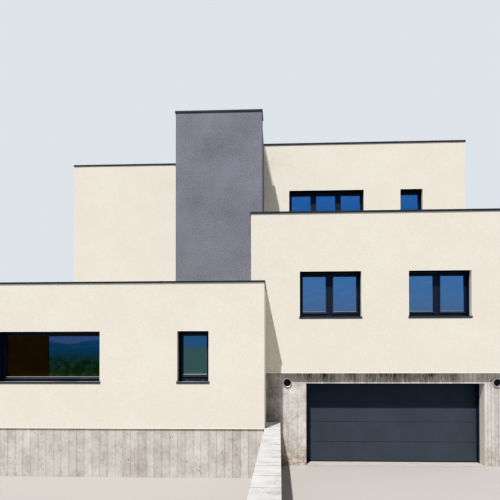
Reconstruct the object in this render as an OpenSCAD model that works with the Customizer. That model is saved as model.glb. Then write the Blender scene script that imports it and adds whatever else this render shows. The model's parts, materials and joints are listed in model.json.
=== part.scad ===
// Detached house of rendered blocks stepped over a concrete garage base.
// Front faces -Y, +Z is up, and the concrete base stands on z = 0.

/* [Plan, right wing] */
// Clear width of the garage doorway
garage_w = 5000; // [4500:50:5500]
// Concrete between the doorway and the right wing's left edge
pier_left_w = 1560; // [1200:10:2000]
// Concrete between the doorway and the right wing's right edge
pier_right_w = 930; // [600:10:1400]
// How far the render stands out over the concrete base
overhang = 150; // [0:10:300]
// Setback of the upper storey behind the middle storey's face
upper_setback = 3290; // [2500:10:4000]
// Concrete face to the rear face of the house
house_d = 10600; // [9000:50:12000]

/* [Plan, left wing and stair tower] */
// How far the front block stands out before the middle storey
front_step = 1250; // [800:10:1600]
// Length of the front block's face
front_w = 7890; // [7000:10:9000]
// Lap of the front block over the right wing's left edge
front_lap = 420; // [300:10:600]
// Setback of the left wing's upper storeys behind the concrete face
left_setback = 4400; // [3500:10:5500]
// Stair tower width
tower_w = 2840; // [2400:10:3400]
// Stair tower depth
tower_d = 4400; // [3500:50:5000]
// How far the tower stands out before the upper storey
tower_step = 1600; // [800:10:1900]
// Lap of the tower over the right wing's left edge
tower_lap = 240; // [150:10:350]

/* [Levels] */
// Top of the concrete base, where the render starts
base_h = 2640; // [2400:10:2900]
// Height of the concrete lintel over the garage doorway
lintel_h = 305; // [150:5:450]
// Middle storey, from the base to the top of its coping
mid_h = 4565; // [4300:5:4800]
// Upper storey, from the middle coping's top to the top of its own coping
upper_h = 3795; // [3500:5:4100]
// Top of the stair tower's coping above the upper storeys' coping
tower_rise = 235; // [100:5:1000]
// Height at which the left wing's render starts, over its plinth
left_foot_z = 1250; // [900:10:1500]
// Setback of the left wing's plinth under its render
plinth_in = 30; // [0:5:80]
// Front block, from the foot of its render to the top of its coping
front_h = 3730; // [3600:10:4000]
// Roof deck of the front block below its coping top
front_deck_drop = 380; // [330:10:500]
// Roof deck of the middle storey below its coping top
mid_deck_drop = 605; // [500:5:800]
// Roof decks of the upper storeys below their coping top
deck_drop = 500; // [350:10:600]
// Middle storey's floor on top of the base
mid_floor_t = 260; // [200:10:350]
// Left wing's storey height, from floor to floor
left_storey_h = 3000; // [2800:10:3100]

/* [Structure] */
// Rendered outside wall
wall_t = 450; // [400:10:550]
// Stair tower wall
tower_wall_t = 300; // [240:10:400]
// Floor and roof slabs
slab_t = 250; // [200:10:300]
// Garage floor slab
garage_floor_t = 20; // [15:5:80]

/* [Coping] */
// Height of the metal coping's face
coping_h = 80; // [60:5:120]
// How far the coping stands out from the wall
coping_out = 25; // [21:1:60]
// Metal over the top of the wall
coping_cap = 30; // [15:5:40]
// Thickness of the hanging edge
coping_lip = 15; // [8:1:20]

/* [Windows] */
// Clear height of every window
win_h = 1300; // [1100:10:1500]
// Width of the picture window and of the three-sash window
wide_w = 2710; // [2400:10:3000]
// Width of the two-sash windows
pair_w = 1725; // [1500:5:1900]
// Width of the single-sash windows
single_w = 800; // [700:10:900]
// Window head in the front block above its floor
head_front_h = 2460; // [2200:10:2600]
// Window head in the middle storey above its floor
head_mid_h = 2600; // [2300:10:2900]
// Window head in the upper storey above its floor
head_upper_h = 2665; // [2300:5:2800]
// Window head in the left wing's upper storeys above their floors
head_left_h = 2250; // [2100:10:2400]
// Depth from the wall's face to the frame
recess = 250; // [180:5:280]
// Fixed frame seen beside a sash
frame_w = 38; // [25:1:60]
// Bottom member of the fixed frame in the two-sash windows
pair_foot = 138; // [40:1:160]
// Bottom member of the fixed frame in the picture window and the three-sash window
wide_foot = 84; // [40:1:160]
// Bottom member of the fixed frame in the single-sash windows
single_foot = 148; // [40:1:160]
// Depth of the fixed frame
frame_d = 80; // [60:5:100]
// Sash member seen round the glass
sash_w = 50; // [40:1:70]
// How far the sash stands out before the fixed frame
sash_step = 12; // [5:1:20]
// How far a blind's guide rail stands out from the side of the opening
rail_w = 25; // [15:1:35]
// Depth of the blind's guide rail before the frame
rail_d = 110; // [80:5:140]
// Clearance between a guide rail and the frame behind it
rail_gap = 0.5; // [0.3:0.1:1]
// Wall left before the blind's slot, which takes up the rest of the soffit
slot_in = 25; // [15:5:60]
// Height of the blind's slot over the opening
slot_h = 180; // [120:10:260]
// Post between two sashes
post_w = 92; // [60:1:120]
// Glazing unit thickness
glass_t = 28; // [20:1:44]
// Depth of the groove that holds the glass
glass_bite = 12; // [8:1:20]
// Sill thickness at the frame
sill_t = 50; // [30:5:70]
// How far the sill stands out from the wall
sill_out = 25; // [20:1:60]
// Fall of the sill's top towards its front edge
sill_fall = 12; // [5:1:20]
// Drip edge under the sill, thickness and drop
sill_lip = 12; // [8:1:18]
// How far the sill runs past the opening at each end
sill_lap = 22; // [10:1:40]
// Height of the cap at each end of the sill
sill_cap = 18; // [10:1:30]

/* [Window places] */
// Picture window, left edge from the house's left end
wide_x = 980; // [600:10:1400]
// Narrow window, right edge from the front block's right end
narrow_x = 1410; // [1000:10:1800]
// Middle storey, window edge from the block's left edge
mid_left_x = 1377; // [1000:1:1700]
// Middle storey, gap between the two windows
mid_gap = 1320; // [1000:5:1600]
// Upper storey, three-sash window from the tower's right face
upper_x = 923; // [700:1:1300]
// Upper storey, gap between the two windows
upper_gap = 1312; // [1000:1:1600]
// Side walls, window edge from the front edge of its storey
side_y = 1500; // [800:10:2200]

/* [Garage door and pipes] */
// Number of door sections
door_sections = 4; // [3:1:6]
// Thickness of a door section
door_t = 40; // [30:5:60]
// Joint between two door sections
door_gap = 4; // [2:1:8]
// Bevel along the edges of each section's face
door_bevel = 4; // [2:1:8]
// Height of the tongue that closes each joint
tongue_h = 14; // [8:1:20]
// Thickness of the tongue
tongue_t = 12; // [8:1:16]
// Play of the tongue in its groove
tongue_play = 2; // [1:1:3]
// How far the door laps the frame at the sides and the head
door_lap = 30; // [15:5:60]
// Door frame behind the doorway, width
door_frame_w = 100; // [60:10:150]
// Door frame behind the doorway, depth
door_frame_d = 150; // [80:10:200]
// Outside diameter of the steel collars
collar_od = 265; // [200:5:320]
// Bore of the collars
collar_id = 206; // [150:2:260]
// How far a collar stands out from the concrete
collar_out = 30; // [10:5:60]
// Left collar's centre from the doorway's edge
collar_left_x = 540; // [400:10:800]
// Right collar's centre from the doorway's edge
collar_right_x = 343; // [250:1:600]
// Collars' centres below the top of the concrete
collar_drop = 280; // [180:10:400]

/* [Retaining wall before the house] */
// Number of coping stones along the wall
stones = 12; // [6:1:14]
// Length of one coping stone with its joint
stone_pitch = 580; // [400:10:700]
// Joint between two coping stones
stone_joint = 8; // [4:1:15]
// Width of the coping stones
stone_w = 400; // [300:10:500]
// Thickness of the coping stones
stone_t = 60; // [40:5:100]
// Setback of the wall under its stones on each side
stone_lap = 15; // [5:5:30]
// Top of the coping stones below the foot of the left wing's render
retaining_drop = 5; // [0:5:100]

/* [Glass balustrade on the tower] */
// Depth of the solid returns at both ends of the glass
return_d = 500; // [350:10:800]
// Top of the wall under the glass, below the tower's coping top
glass_drop = 435; // [300:5:900]
// Thickness of the laminated glass
rail_glass_t = 20; // [12:1:26]
// Setback of the glass behind the tower's side face
rail_glass_in = 20; // [10:5:60]
// Width of the metal channel that holds the glass
channel_w = 80; // [60:5:120]
// Height of the channel
channel_h = 60; // [50:5:140]
// Glass held inside the channel
channel_bite = 40; // [25:5:45]
// Joint between two sheets of glass
sheet_gap = 10; // [6:1:20]

/* [Hidden] */
$fn = 64;
eps = 1;
far = 3 * wall_t;

// Places across the house, from the doorway's centre line.
x_mid_l = -garage_w / 2 - pier_left_w;
x_mid_r = garage_w / 2 + pier_right_w;
x_front_r = x_mid_l + front_lap;
x_left = x_front_r - front_w;
x_tower_r = x_mid_l + tower_lap;
x_tower_l = x_tower_r - tower_w;
x_in_l = x_left + wall_t;
x_in_r = x_mid_r - wall_t;

// Places front to back, from the concrete face.
y_mid = -overhang;
y_front = y_mid - front_step;
y_upper = y_mid + upper_setback;
y_tower = y_upper - tower_step;
y_tower_b = y_tower + tower_d;
y_in_f = y_front + wall_t;
y_in_m = y_mid + wall_t;
y_in_r = house_d - wall_t;
base_wall_t = wall_t - overhang;
y_retaining = -stones * stone_pitch;

// Tops of the copings and of the floors and decks.
garage_h = base_h - lintel_h;
mid_top = base_h + mid_h;
upper_top = mid_top + upper_h;
tower_top = upper_top + tower_rise;
front_top = left_foot_z + front_h;
mid_floor_z = base_h + mid_floor_t;
upper_floor_z = mid_top - mid_deck_drop;
left_deck_z = front_top - front_deck_drop;
left_floor_z = left_deck_z + left_storey_h;
retaining_top = left_foot_z - retaining_drop;
collar_z = base_h - collar_drop;

// Tops of the walls under their copings, and of the roof slabs.
front_wall_z = front_top - coping_cap;
mid_wall_z = mid_top - coping_cap;
upper_wall_z = upper_top - coping_cap;
tower_wall_z = tower_top - coping_cap;
upper_deck_z = upper_top - deck_drop;
tower_deck_z = tower_top - deck_drop - glass_drop;
glass_wall_z = tower_top - glass_drop;

// Sash, opening and door sizes that follow from the driving sizes.
open_h = win_h + sill_t;
door_h = garage_h + door_lap - garage_floor_t;
section_h = (door_h - (door_sections - 1) * door_gap) / door_sections;
x_win_1 = x_mid_l + mid_left_x;
x_win_2 = x_win_1 + pair_w + mid_gap;
x_wide_up = x_tower_r + upper_x;
x_single_up = x_wide_up + wide_w + upper_gap;
x_narrow = x_front_r - narrow_x - single_w;
x_wide = x_left + wide_x;
x_pair_l = (x_in_l + x_tower_l) / 2 - pair_w / 2;
x_pair_m = (x_tower_l + x_tower_r) / 2 - pair_w / 2;
head_front = left_foot_z + head_front_h;
head_mid = mid_floor_z + head_mid_h;
head_upper = upper_floor_z + head_upper_h;
left_head_1 = left_deck_z + head_left_h;
left_head_2 = left_floor_z + head_left_h;

// Windows: [wall, place along the wall, head, width, sashes].
WIN_FRONT = [["front", x_wide, head_front, wide_w, 1],
             ["front", x_narrow, head_front, single_w, 1]];
WIN_MID = [["mid", x_win_1, head_mid, pair_w, 2],
           ["mid", x_win_2, head_mid, pair_w, 2]];
WIN_UPPER = [["upper", x_wide_up, head_upper, wide_w, 3],
             ["upper", x_single_up, head_upper, single_w, 1]];
WIN_REAR = [["rear", x_wide, head_front, wide_w, 1],
            ["rear", x_narrow, head_front, single_w, 1],
            ["rear", x_win_1, head_mid, pair_w, 2],
            ["rear", x_win_2, head_mid, pair_w, 2],
            ["rear", x_wide_up, head_upper, wide_w, 3],
            ["rear", x_single_up, head_upper, single_w, 1],
            ["rear", x_pair_l, left_head_1, pair_w, 2],
            ["rear", x_pair_l, left_head_2, pair_w, 2],
            ["rear", x_pair_m, left_head_1, pair_w, 2],
            ["rear", x_pair_m, left_head_2, pair_w, 2]];
WIN_SIDE = [["right", y_mid + side_y, head_mid, pair_w, 2],
            ["right", y_upper + side_y, head_upper, pair_w, 2],
            ["left", y_front + side_y, head_front, pair_w, 2],
            ["left", left_setback + side_y, left_head_1, pair_w, 2],
            ["left", left_setback + side_y, left_head_2, pair_w, 2]];
WIN_ALL = concat(WIN_FRONT, WIN_MID, WIN_UPPER, WIN_REAR, WIN_SIDE);

// Centre of the whole part in plan, so that it stands on its middle.
mid_x = (x_left + x_mid_r) / 2;
mid_y = (y_retaining + house_d + max(coping_out, sill_out)) / 2;

CREAM = [0.93, 0.90, 0.83];
GREY = [0.48, 0.48, 0.52];
CONCRETE = [0.66, 0.63, 0.60];
SLAB = [0.74, 0.73, 0.71];
METAL = [0.13, 0.15, 0.19];
STEEL = [0.75, 0.76, 0.77];
PANE = [0.28, 0.43, 0.62, 0.6];

// Moves the house so that the middle of its plan is the origin.
module placed() {
    translate([-mid_x, -mid_y, 0]) children();
}

// A box between two x, two y and two z places.
module span(x, y, z) {
    translate([x[0], y[0], z[0]]) cube([x[1] - x[0], y[1] - y[0], z[1] - z[0]]);
}

// A profile drawn in y and z, run along x from x[0] to x[1].
module run_x(x, points) {
    translate([x[0], 0, 0]) rotate([90, 0, 90])
        linear_extrude(height = x[1] - x[0]) polygon(points);
}

// A profile drawn in x and z, run along y from y[0] to y[1].
module run_y(y, points) {
    translate([0, y[1], 0]) rotate([90, 0, 0])
        linear_extrude(height = y[1] - y[0]) polygon(points);
}

// Puts a window's own frame, sill at z = 0 and outside at -y, into its wall.
module in_wall(w) {
    z = w[2] - open_h;
    if (w[0] == "front") translate([w[1], y_front, z]) children();
    if (w[0] == "mid") translate([w[1], y_mid, z]) children();
    if (w[0] == "upper") translate([w[1], y_upper, z]) children();
    if (w[0] == "rear") translate([w[1] + w[3], house_d, z]) rotate([0, 0, 180]) children();
    if (w[0] == "right") translate([x_mid_r, w[1], z]) rotate([0, 0, 90]) children();
    if (w[0] == "left") translate([x_left, w[1] + w[3], z]) rotate([0, 0, -90]) children();
}

// Holes for a list of windows, with their sill seats and blind slots.
module openings(list) {
    for (w = list) in_wall(w) {
        translate([0, -eps, 0]) cube([w[3], wall_t + 2 * eps, open_h]);
        span([0, w[3]], [slot_in, recess], [open_h - eps, open_h + slot_h]);
    }
}

// Width of one sash in a window, and its height over the fixed frame's foot.
function cell_w(w) = (w[3] - 2 * frame_w - (w[4] - 1) * post_w) / w[4];
function foot_h(w) = w[4] == 2 ? pair_foot : w[3] == wide_w ? wide_foot : single_foot;
function cell_h(w) = win_h - frame_w - foot_h(w);

// One window's fixed frame with its sashes, grooved for the glass.
module window_frame(w) {
    cw = cell_w(w);
    ch = cell_h(w);
    in_wall(w) translate([0, recess, sill_t]) difference() {
        union() {
            cube([w[3], frame_d, win_h]);
            for (i = [0:w[4] - 1])
                translate([frame_w + i * (cw + post_w), -sash_step, foot_h(w)])
                    cube([cw, sash_step, ch]);
        }
        for (i = [0:w[4] - 1]) translate([frame_w + i * (cw + post_w) + sash_w, 0,
                                          foot_h(w) + sash_w]) {
            translate([0, -sash_step - eps, 0])
                cube([cw - 2 * sash_w, frame_d + sash_step + 2 * eps, ch - 2 * sash_w]);
            pane(cw, ch);
        }
    }
}

// The guide rails of one window's blind, before the frame and up into the slot.
module guide_rails(w) {
    in_wall(w) for (x = [0, w[3] - rail_w])
        span([x, x + rail_w], [recess - rail_d, recess - rail_gap],
             [sill_t, open_h + slot_h]);
}

// The glazing unit of one sash, from the corner of the clear glass.
module pane(cw, ch) {
    translate([-glass_bite, (frame_d - glass_t) / 2, -glass_bite])
        cube([cw - 2 * sash_w + 2 * glass_bite, glass_t,
              ch - 2 * sash_w + 2 * glass_bite]);
}

// All glazing units of one window.
module window_glass(w) {
    cw = cell_w(w);
    ch = cell_h(w);
    in_wall(w) translate([0, recess, sill_t])
        for (i = [0:w[4] - 1])
            translate([frame_w + i * (cw + post_w) + sash_w, 0, foot_h(w) + sash_w])
                pane(cw, ch);
}

// Pressed metal sill with a falling top, a drip edge and end caps.
module window_sill(w) {
    z_wall = sill_t - sill_fall * recess / (recess + sill_out);
    z_edge = sill_t - sill_fall;
    in_wall(w) {
        run_x([0, w[3]], [[0, 0], [recess + frame_d, 0], [recess + frame_d, sill_t],
                          [recess, sill_t], [0, z_wall]]);
        run_x([-sill_lap, w[3] + sill_lap],
              [[-sill_out, -sill_lip], [-sill_out + sill_lip, -sill_lip],
               [-sill_out + sill_lip, 0], [0, 0], [0, z_wall], [-sill_out, z_edge]]);
        for (x = [-sill_lap, w[3] + sill_lap - sill_lip])
            span([x, x + sill_lip], [-sill_out, 0], [z_edge - eps, sill_t + sill_cap]);
    }
}

// Folded metal coping over wall runs, given as boxes in plan [x0, x1, y0, y1].
// Its edges hang clear of the wall, and it stops at the boxes in stops.
module coping(runs, top, stops = []) {
    clear = coping_out - coping_lip;
    difference() {
        union() for (r = runs)
            span([r[0] - coping_out, r[1] + coping_out],
                 [r[2] - coping_out, r[3] + coping_out], [top - coping_h, top]);
        for (r = runs)
            span([r[0] - clear, r[1] + clear], [r[2] - clear, r[3] + clear],
                 [top - coping_h - eps, top - coping_cap]);
        for (s = stops)
            span([s[0], s[1]], [s[2], s[3]], [top - 2 * coping_h, top + eps]);
    }
}

// Concrete base of the right wing.
module pier(x0, x1, bore_x) {
    difference() {
        span([x0, x1], [0, base_wall_t], [0, base_h]);
        translate([bore_x, -eps, collar_z]) rotate([-90, 0, 0])
            cylinder(d = collar_od, h = base_wall_t + 2 * eps);
    }
}

module garage_pier_left() {
    color(CONCRETE) placed()
        pier(x_mid_l, -garage_w / 2, -garage_w / 2 - collar_left_x);
}

module garage_pier_right() {
    color(CONCRETE) placed()
        pier(garage_w / 2, x_mid_r, garage_w / 2 + collar_right_x);
}

module garage_lintel() {
    color(CONCRETE) placed()
        span([-garage_w / 2, garage_w / 2], [0, base_wall_t], [garage_h, base_h]);
}

module base_walls() {
    color(CONCRETE) placed() union() {
        span([x_in_r, x_mid_r], [base_wall_t, house_d], [0, base_h]);
        span([x_mid_l, x_mid_r], [y_in_r, house_d], [0, base_h]);
    }
}

// Wall between the two wings, rising outside as the middle block's parapet.
module spine_wall() {
    color(CREAM) placed()
        run_x([x_mid_l, x_tower_r],
              [[y_in_m, 0], [y_in_r, 0], [y_in_r, upper_deck_z],
               [y_tower_b, upper_deck_z], [y_tower_b, left_deck_z],
               [y_tower, left_deck_z], [y_tower, mid_wall_z], [y_in_m, mid_wall_z]]);
}

module garage_floor() {
    color(SLAB) placed() union() {
        span([x_tower_r, x_in_r], [base_wall_t, y_in_r], [0, garage_floor_t]);
        span([-garage_w / 2, garage_w / 2], [0, base_wall_t], [0, garage_floor_t]);
    }
}

// Concrete plinth of the left wing, down to the garage's level.
module plinth_walls() {
    x0 = x_left + plinth_in;
    x1 = x_front_r - plinth_in;
    y0 = y_front + plinth_in;
    y1 = house_d - plinth_in;
    color(CONCRETE) placed() union() {
        span([x0, x1], [y0, y_in_f], [0, left_foot_z]);
        span([x_mid_l, x1], [y0, 0], [0, left_foot_z]);
        span([x0, x_in_l], [y0, y1], [0, left_foot_z]);
        span([x0, x_mid_l], [y_in_r, y1], [0, left_foot_z]);
    }
}

module left_floor() {
    color(SLAB) placed()
        span([x_in_l, x_mid_l], [y_in_f, y_in_r], [left_foot_z - slab_t, left_foot_z]);
}

module retaining_wall() {
    color(CONCRETE) placed()
        span([x_front_r + stone_lap, x_front_r + stone_w - stone_lap],
             [y_retaining, 0], [0, retaining_top - stone_t]);
}

module retaining_coping() {
    color(SLAB) placed() for (i = [0:stones - 1])
        span([x_front_r, x_front_r + stone_w],
             [y_retaining + i * stone_pitch + (i > 0 ? stone_joint : 0),
              y_retaining + (i + 1) * stone_pitch],
             [retaining_top - stone_t, retaining_top]);
}

module pipe_collars() {
    color(STEEL) placed()
        for (x = [-garage_w / 2 - collar_left_x, garage_w / 2 + collar_right_x])
            translate([x, -collar_out, collar_z]) rotate([-90, 0, 0]) difference() {
                cylinder(d = collar_od, h = base_wall_t + collar_out);
                translate([0, 0, -eps])
                    cylinder(d = collar_id, h = base_wall_t + collar_out + 2 * eps);
            }
}

// Frame of the sectional door, fixed to the concrete behind the doorway.
module door_frame() {
    color(METAL) placed() difference() {
        span([-garage_w / 2 - door_frame_w, garage_w / 2 + door_frame_w],
             [base_wall_t, base_wall_t + door_frame_d],
             [garage_floor_t, garage_h + door_frame_w]);
        span([-garage_w / 2, garage_w / 2],
             [base_wall_t - eps, base_wall_t + door_frame_d + eps],
             [garage_floor_t - eps, garage_h]);
    }
}

// Sectional door against the back of its frame. A tongue on top of each
// section stands in a groove of the next one, and the faces are bevelled.
module garage_door() {
    y0 = base_wall_t + door_frame_d;
    y1 = y0 + door_t;
    ya = y0 + (door_t - tongue_t) / 2;
    yb = ya + tongue_t;
    color(METAL) placed() for (i = [0:door_sections - 1]) {
        z0 = garage_floor_t + i * (section_h + door_gap);
        z1 = z0 + section_h;
        groove = i == 0 ? [] :
            [[ya - tongue_play, z0], [ya - tongue_play, z0 + tongue_h - door_gap + tongue_play],
             [yb + tongue_play, z0 + tongue_h - door_gap + tongue_play],
             [yb + tongue_play, z0]];
        tongue = i == door_sections - 1 ? [] :
            [[yb, z1], [yb, z1 + tongue_h], [ya, z1 + tongue_h], [ya, z1]];
        run_x([-garage_w / 2 - door_lap, garage_w / 2 + door_lap],
              concat([[y0, z0 + door_bevel], [y0 + door_bevel, z0]], groove,
                     [[y1, z0], [y1, z1]], tongue,
                     [[y0 + door_bevel, z1], [y0, z1 - door_bevel]]));
    }
}

// Rendered walls.
module front_wall() {
    color(CREAM) placed() difference() {
        union() {
            span([x_left, x_front_r], [y_front, y_in_f], [left_foot_z, front_wall_z]);
            span([x_mid_l, x_front_r], [y_front, y_mid], [left_foot_z, front_wall_z]);
            span([x_mid_l, x_front_r], [y_front, 0], [left_foot_z, base_h]);
        }
        openings(WIN_FRONT);
    }
}

module mid_front_wall() {
    color(CREAM) placed() difference() {
        span([x_mid_l, x_mid_r], [y_mid, y_in_m], [base_h, mid_wall_z]);
        openings(WIN_MID);
    }
}

module upper_front_wall() {
    color(CREAM) placed() difference() {
        span([x_tower_r, x_mid_r], [y_upper, y_upper + wall_t],
             [upper_floor_z, upper_wall_z]);
        openings(WIN_UPPER);
    }
}

module left_upper_wall() {
    color(CREAM) placed()
        span([x_left, x_tower_l], [left_setback, left_setback + wall_t],
             [left_deck_z, upper_wall_z]);
}

module left_side_wall() {
    y_step = left_setback + wall_t;
    color(CREAM) placed() difference() {
        run_x([x_left, x_in_l],
              [[y_in_f, left_foot_z], [y_in_r, left_foot_z], [y_in_r, upper_wall_z],
               [y_step, upper_wall_z], [y_step, left_deck_z],
               [left_setback, left_deck_z], [left_setback, front_wall_z],
               [y_in_f, front_wall_z]]);
        openings([for (w = WIN_SIDE) if (w[0] == "left") w]);
    }
}

module right_side_wall() {
    y_step = y_upper + wall_t;
    color(CREAM) placed() difference() {
        run_x([x_in_r, x_mid_r],
              [[y_in_m, base_h], [y_in_r, base_h], [y_in_r, upper_wall_z],
               [y_step, upper_wall_z], [y_step, upper_floor_z],
               [y_upper, upper_floor_z], [y_upper, mid_wall_z],
               [y_in_m, mid_wall_z]]);
        openings([for (w = WIN_SIDE) if (w[0] == "right") w]);
    }
}

module rear_wall() {
    color(CREAM) placed() difference() {
        run_y([y_in_r, house_d],
              [[x_left, left_foot_z], [x_mid_l, left_foot_z], [x_mid_l, base_h],
               [x_mid_r, base_h], [x_mid_r, upper_wall_z], [x_left, upper_wall_z]]);
        openings(WIN_REAR);
    }
}

// Stair tower: four walls round a hollow, cut down on the right for the glass.
module tower_walls() {
    color(GREY) placed() difference() {
        span([x_tower_l, x_tower_r], [y_tower, y_tower_b], [left_deck_z, tower_wall_z]);
        span([x_tower_l + tower_wall_t, x_tower_r - tower_wall_t],
             [y_tower + tower_wall_t, y_tower_b - tower_wall_t],
             [left_deck_z - eps, tower_wall_z + eps]);
        span([x_tower_r - tower_wall_t - eps, x_tower_r + eps],
             [y_tower + return_d, y_tower_b - return_d],
             [glass_wall_z, tower_wall_z + eps]);
    }
}

// Floors and roofs.
module mid_floor() {
    color(SLAB) placed()
        span([x_tower_r, x_in_r], [y_in_m, y_in_r], [base_h, mid_floor_z]);
}

module upper_floor() {
    color(SLAB) placed()
        span([x_tower_r, x_in_r], [y_in_m, y_in_r],
             [upper_floor_z - slab_t, upper_floor_z]);
}

module left_deck() {
    color(SLAB) placed()
        span([x_in_l, x_mid_l], [y_in_f, y_in_r], [left_deck_z - slab_t, left_deck_z]);
}

// The left wing's plan behind its upper front wall, round the tower.
module left_upper_slab(top) {
    y0 = left_setback + wall_t;
    translate([0, 0, top - slab_t]) linear_extrude(height = slab_t)
        polygon([[x_in_l, y0], [x_tower_l, y0], [x_tower_l, y_tower_b],
                 [x_mid_l, y_tower_b], [x_mid_l, y_in_r], [x_in_l, y_in_r]]);
}

module left_second_floor() {
    color(SLAB) placed() left_upper_slab(left_floor_z);
}

// Two slabs at one level, on either side of the wall between the wings.
module main_roof() {
    color(SLAB) placed() {
        left_upper_slab(upper_deck_z);
        span([x_tower_r, x_in_r], [y_upper + wall_t, y_in_r],
             [upper_deck_z - slab_t, upper_deck_z]);
    }
}

module tower_roof() {
    color(SLAB) placed()
        span([x_tower_l + tower_wall_t, x_tower_r - tower_wall_t],
             [y_tower + tower_wall_t, y_tower_b - tower_wall_t],
             [tower_deck_z - slab_t, tower_deck_z]);
}

// Copings.

module front_coping() {
    color(METAL) placed() coping(
        [[x_left, x_front_r, y_front, y_in_f],
         [x_mid_l, x_front_r, y_front, y_mid],
         [x_left, x_in_l, y_front, left_setback]], front_top,
        [[x_mid_l - far, x_front_r + far, y_mid, y_mid + far],
         [x_left - far, x_in_l + far, left_setback, left_setback + far]]);
}

module mid_coping() {
    color(METAL) placed() coping(
        [[x_mid_l, x_mid_r, y_mid, y_in_m],
         [x_mid_l, x_tower_r, y_mid, y_tower],
         [x_in_r, x_mid_r, y_mid, y_upper]], mid_top,
        [[x_mid_l - far, x_tower_r + far, y_tower, y_tower + far],
         [x_in_r - far, x_mid_r + far, y_upper, y_upper + far]]);
}

module upper_coping() {
    color(METAL) placed() coping(
        [[x_tower_r, x_mid_r, y_upper, y_upper + wall_t],
         [x_in_r, x_mid_r, y_upper, house_d],
         [x_mid_l, x_mid_r, y_in_r, house_d]], upper_top,
        [[x_tower_r - far, x_tower_r, y_upper - far, y_upper + far],
         [x_mid_l - far, x_mid_l, y_in_r - far, house_d + far]]);
}

module left_upper_coping() {
    color(METAL) placed() coping(
        [[x_left, x_tower_l, left_setback, left_setback + wall_t],
         [x_left, x_in_l, left_setback, house_d],
         [x_left, x_mid_l, y_in_r, house_d]], upper_top,
        [[x_tower_l, x_tower_l + far, left_setback - far, left_setback + far],
         [x_mid_l, x_mid_l + far, y_in_r - far, house_d + far]]);
}

module tower_coping() {
    x_in = x_tower_r - tower_wall_t;
    color(METAL) placed() coping(
        [[x_tower_l, x_tower_r, y_tower, y_tower + tower_wall_t],
         [x_tower_l, x_tower_l + tower_wall_t, y_tower, y_tower_b],
         [x_tower_l, x_tower_r, y_tower_b - tower_wall_t, y_tower_b],
         [x_in, x_tower_r, y_tower, y_tower + return_d],
         [x_in, x_tower_r, y_tower_b - return_d, y_tower_b]], tower_top);
}

// Two sheets of laminated glass, held by a metal channel on the lowered wall.
module balustrade_glass() {
    x1 = x_tower_r - rail_glass_in;
    y0 = y_tower + return_d + coping_out;
    sheet = (tower_d - 2 * (return_d + coping_out) - sheet_gap) / 2;
    color(PANE) placed() for (y = [y0, y0 + sheet + sheet_gap])
        span([x1 - rail_glass_t, x1], [y, y + sheet],
             [glass_wall_z + channel_h - channel_bite, tower_top]);
}

module balustrade_channel() {
    x1 = x_tower_r - rail_glass_in;
    color(METAL) placed() difference() {
        span([x_tower_r - channel_w, x_tower_r],
             [y_tower + return_d, y_tower_b - return_d],
             [glass_wall_z, glass_wall_z + channel_h]);
        span([x1 - rail_glass_t, x1],
             [y_tower + return_d - eps, y_tower_b - return_d + eps],
             [glass_wall_z + channel_h - channel_bite, glass_wall_z + channel_h + eps]);
    }
}

// Windows.
module blind_window(w) {
    window_frame(w);
    guide_rails(w);
}

module front_window_frames() { color(METAL) placed() for (w = WIN_FRONT) blind_window(w); }
module mid_window_frames() { color(METAL) placed() for (w = WIN_MID) blind_window(w); }
module upper_window_frames() { color(METAL) placed() for (w = WIN_UPPER) blind_window(w); }
module rear_window_frames() { color(METAL) placed() for (w = WIN_REAR) blind_window(w); }
module side_window_frames() { color(METAL) placed() for (w = WIN_SIDE) blind_window(w); }
module front_glass() { color(PANE) placed() for (w = WIN_FRONT) window_glass(w); }
module mid_glass() { color(PANE) placed() for (w = WIN_MID) window_glass(w); }
module upper_glass() { color(PANE) placed() for (w = WIN_UPPER) window_glass(w); }
module rear_glass() { color(PANE) placed() for (w = WIN_REAR) window_glass(w); }
module side_glass() { color(PANE) placed() for (w = WIN_SIDE) window_glass(w); }
module window_sills() { color(METAL) placed() for (w = WIN_ALL) window_sill(w); }

garage_pier_left();
garage_pier_right();
garage_lintel();
base_walls();
spine_wall();
garage_floor();
plinth_walls();
left_floor();
retaining_wall();
retaining_coping();
pipe_collars();
door_frame();
garage_door();
front_wall();
mid_front_wall();
upper_front_wall();
left_upper_wall();
left_side_wall();
right_side_wall();
rear_wall();
tower_walls();
mid_floor();
upper_floor();
left_deck();
left_second_floor();
main_roof();
tower_roof();
front_coping();
mid_coping();
upper_coping();
left_upper_coping();
tower_coping();
balustrade_glass();
balustrade_channel();
front_window_frames();
mid_window_frames();
upper_window_frames();
rear_window_frames();
side_window_frames();
front_glass();
mid_glass();
upper_glass();
rear_glass();
side_glass();
window_sills();
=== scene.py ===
# %% [markdown]
# A house over a concrete garage
#
# The house is a stack of rendered blocks on a concrete base. Its shape comes from the
# packed model, which is fixed: this lesson gives that model its camera, its light, its
# finishes and the small parts that a plain model leaves out. Everything is in metres, the
# front faces -Y, and +Z is up.

import json
import math
from collections import namedtuple

import bmesh
import bpy
from mathutils import Matrix, Vector, noise


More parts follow.
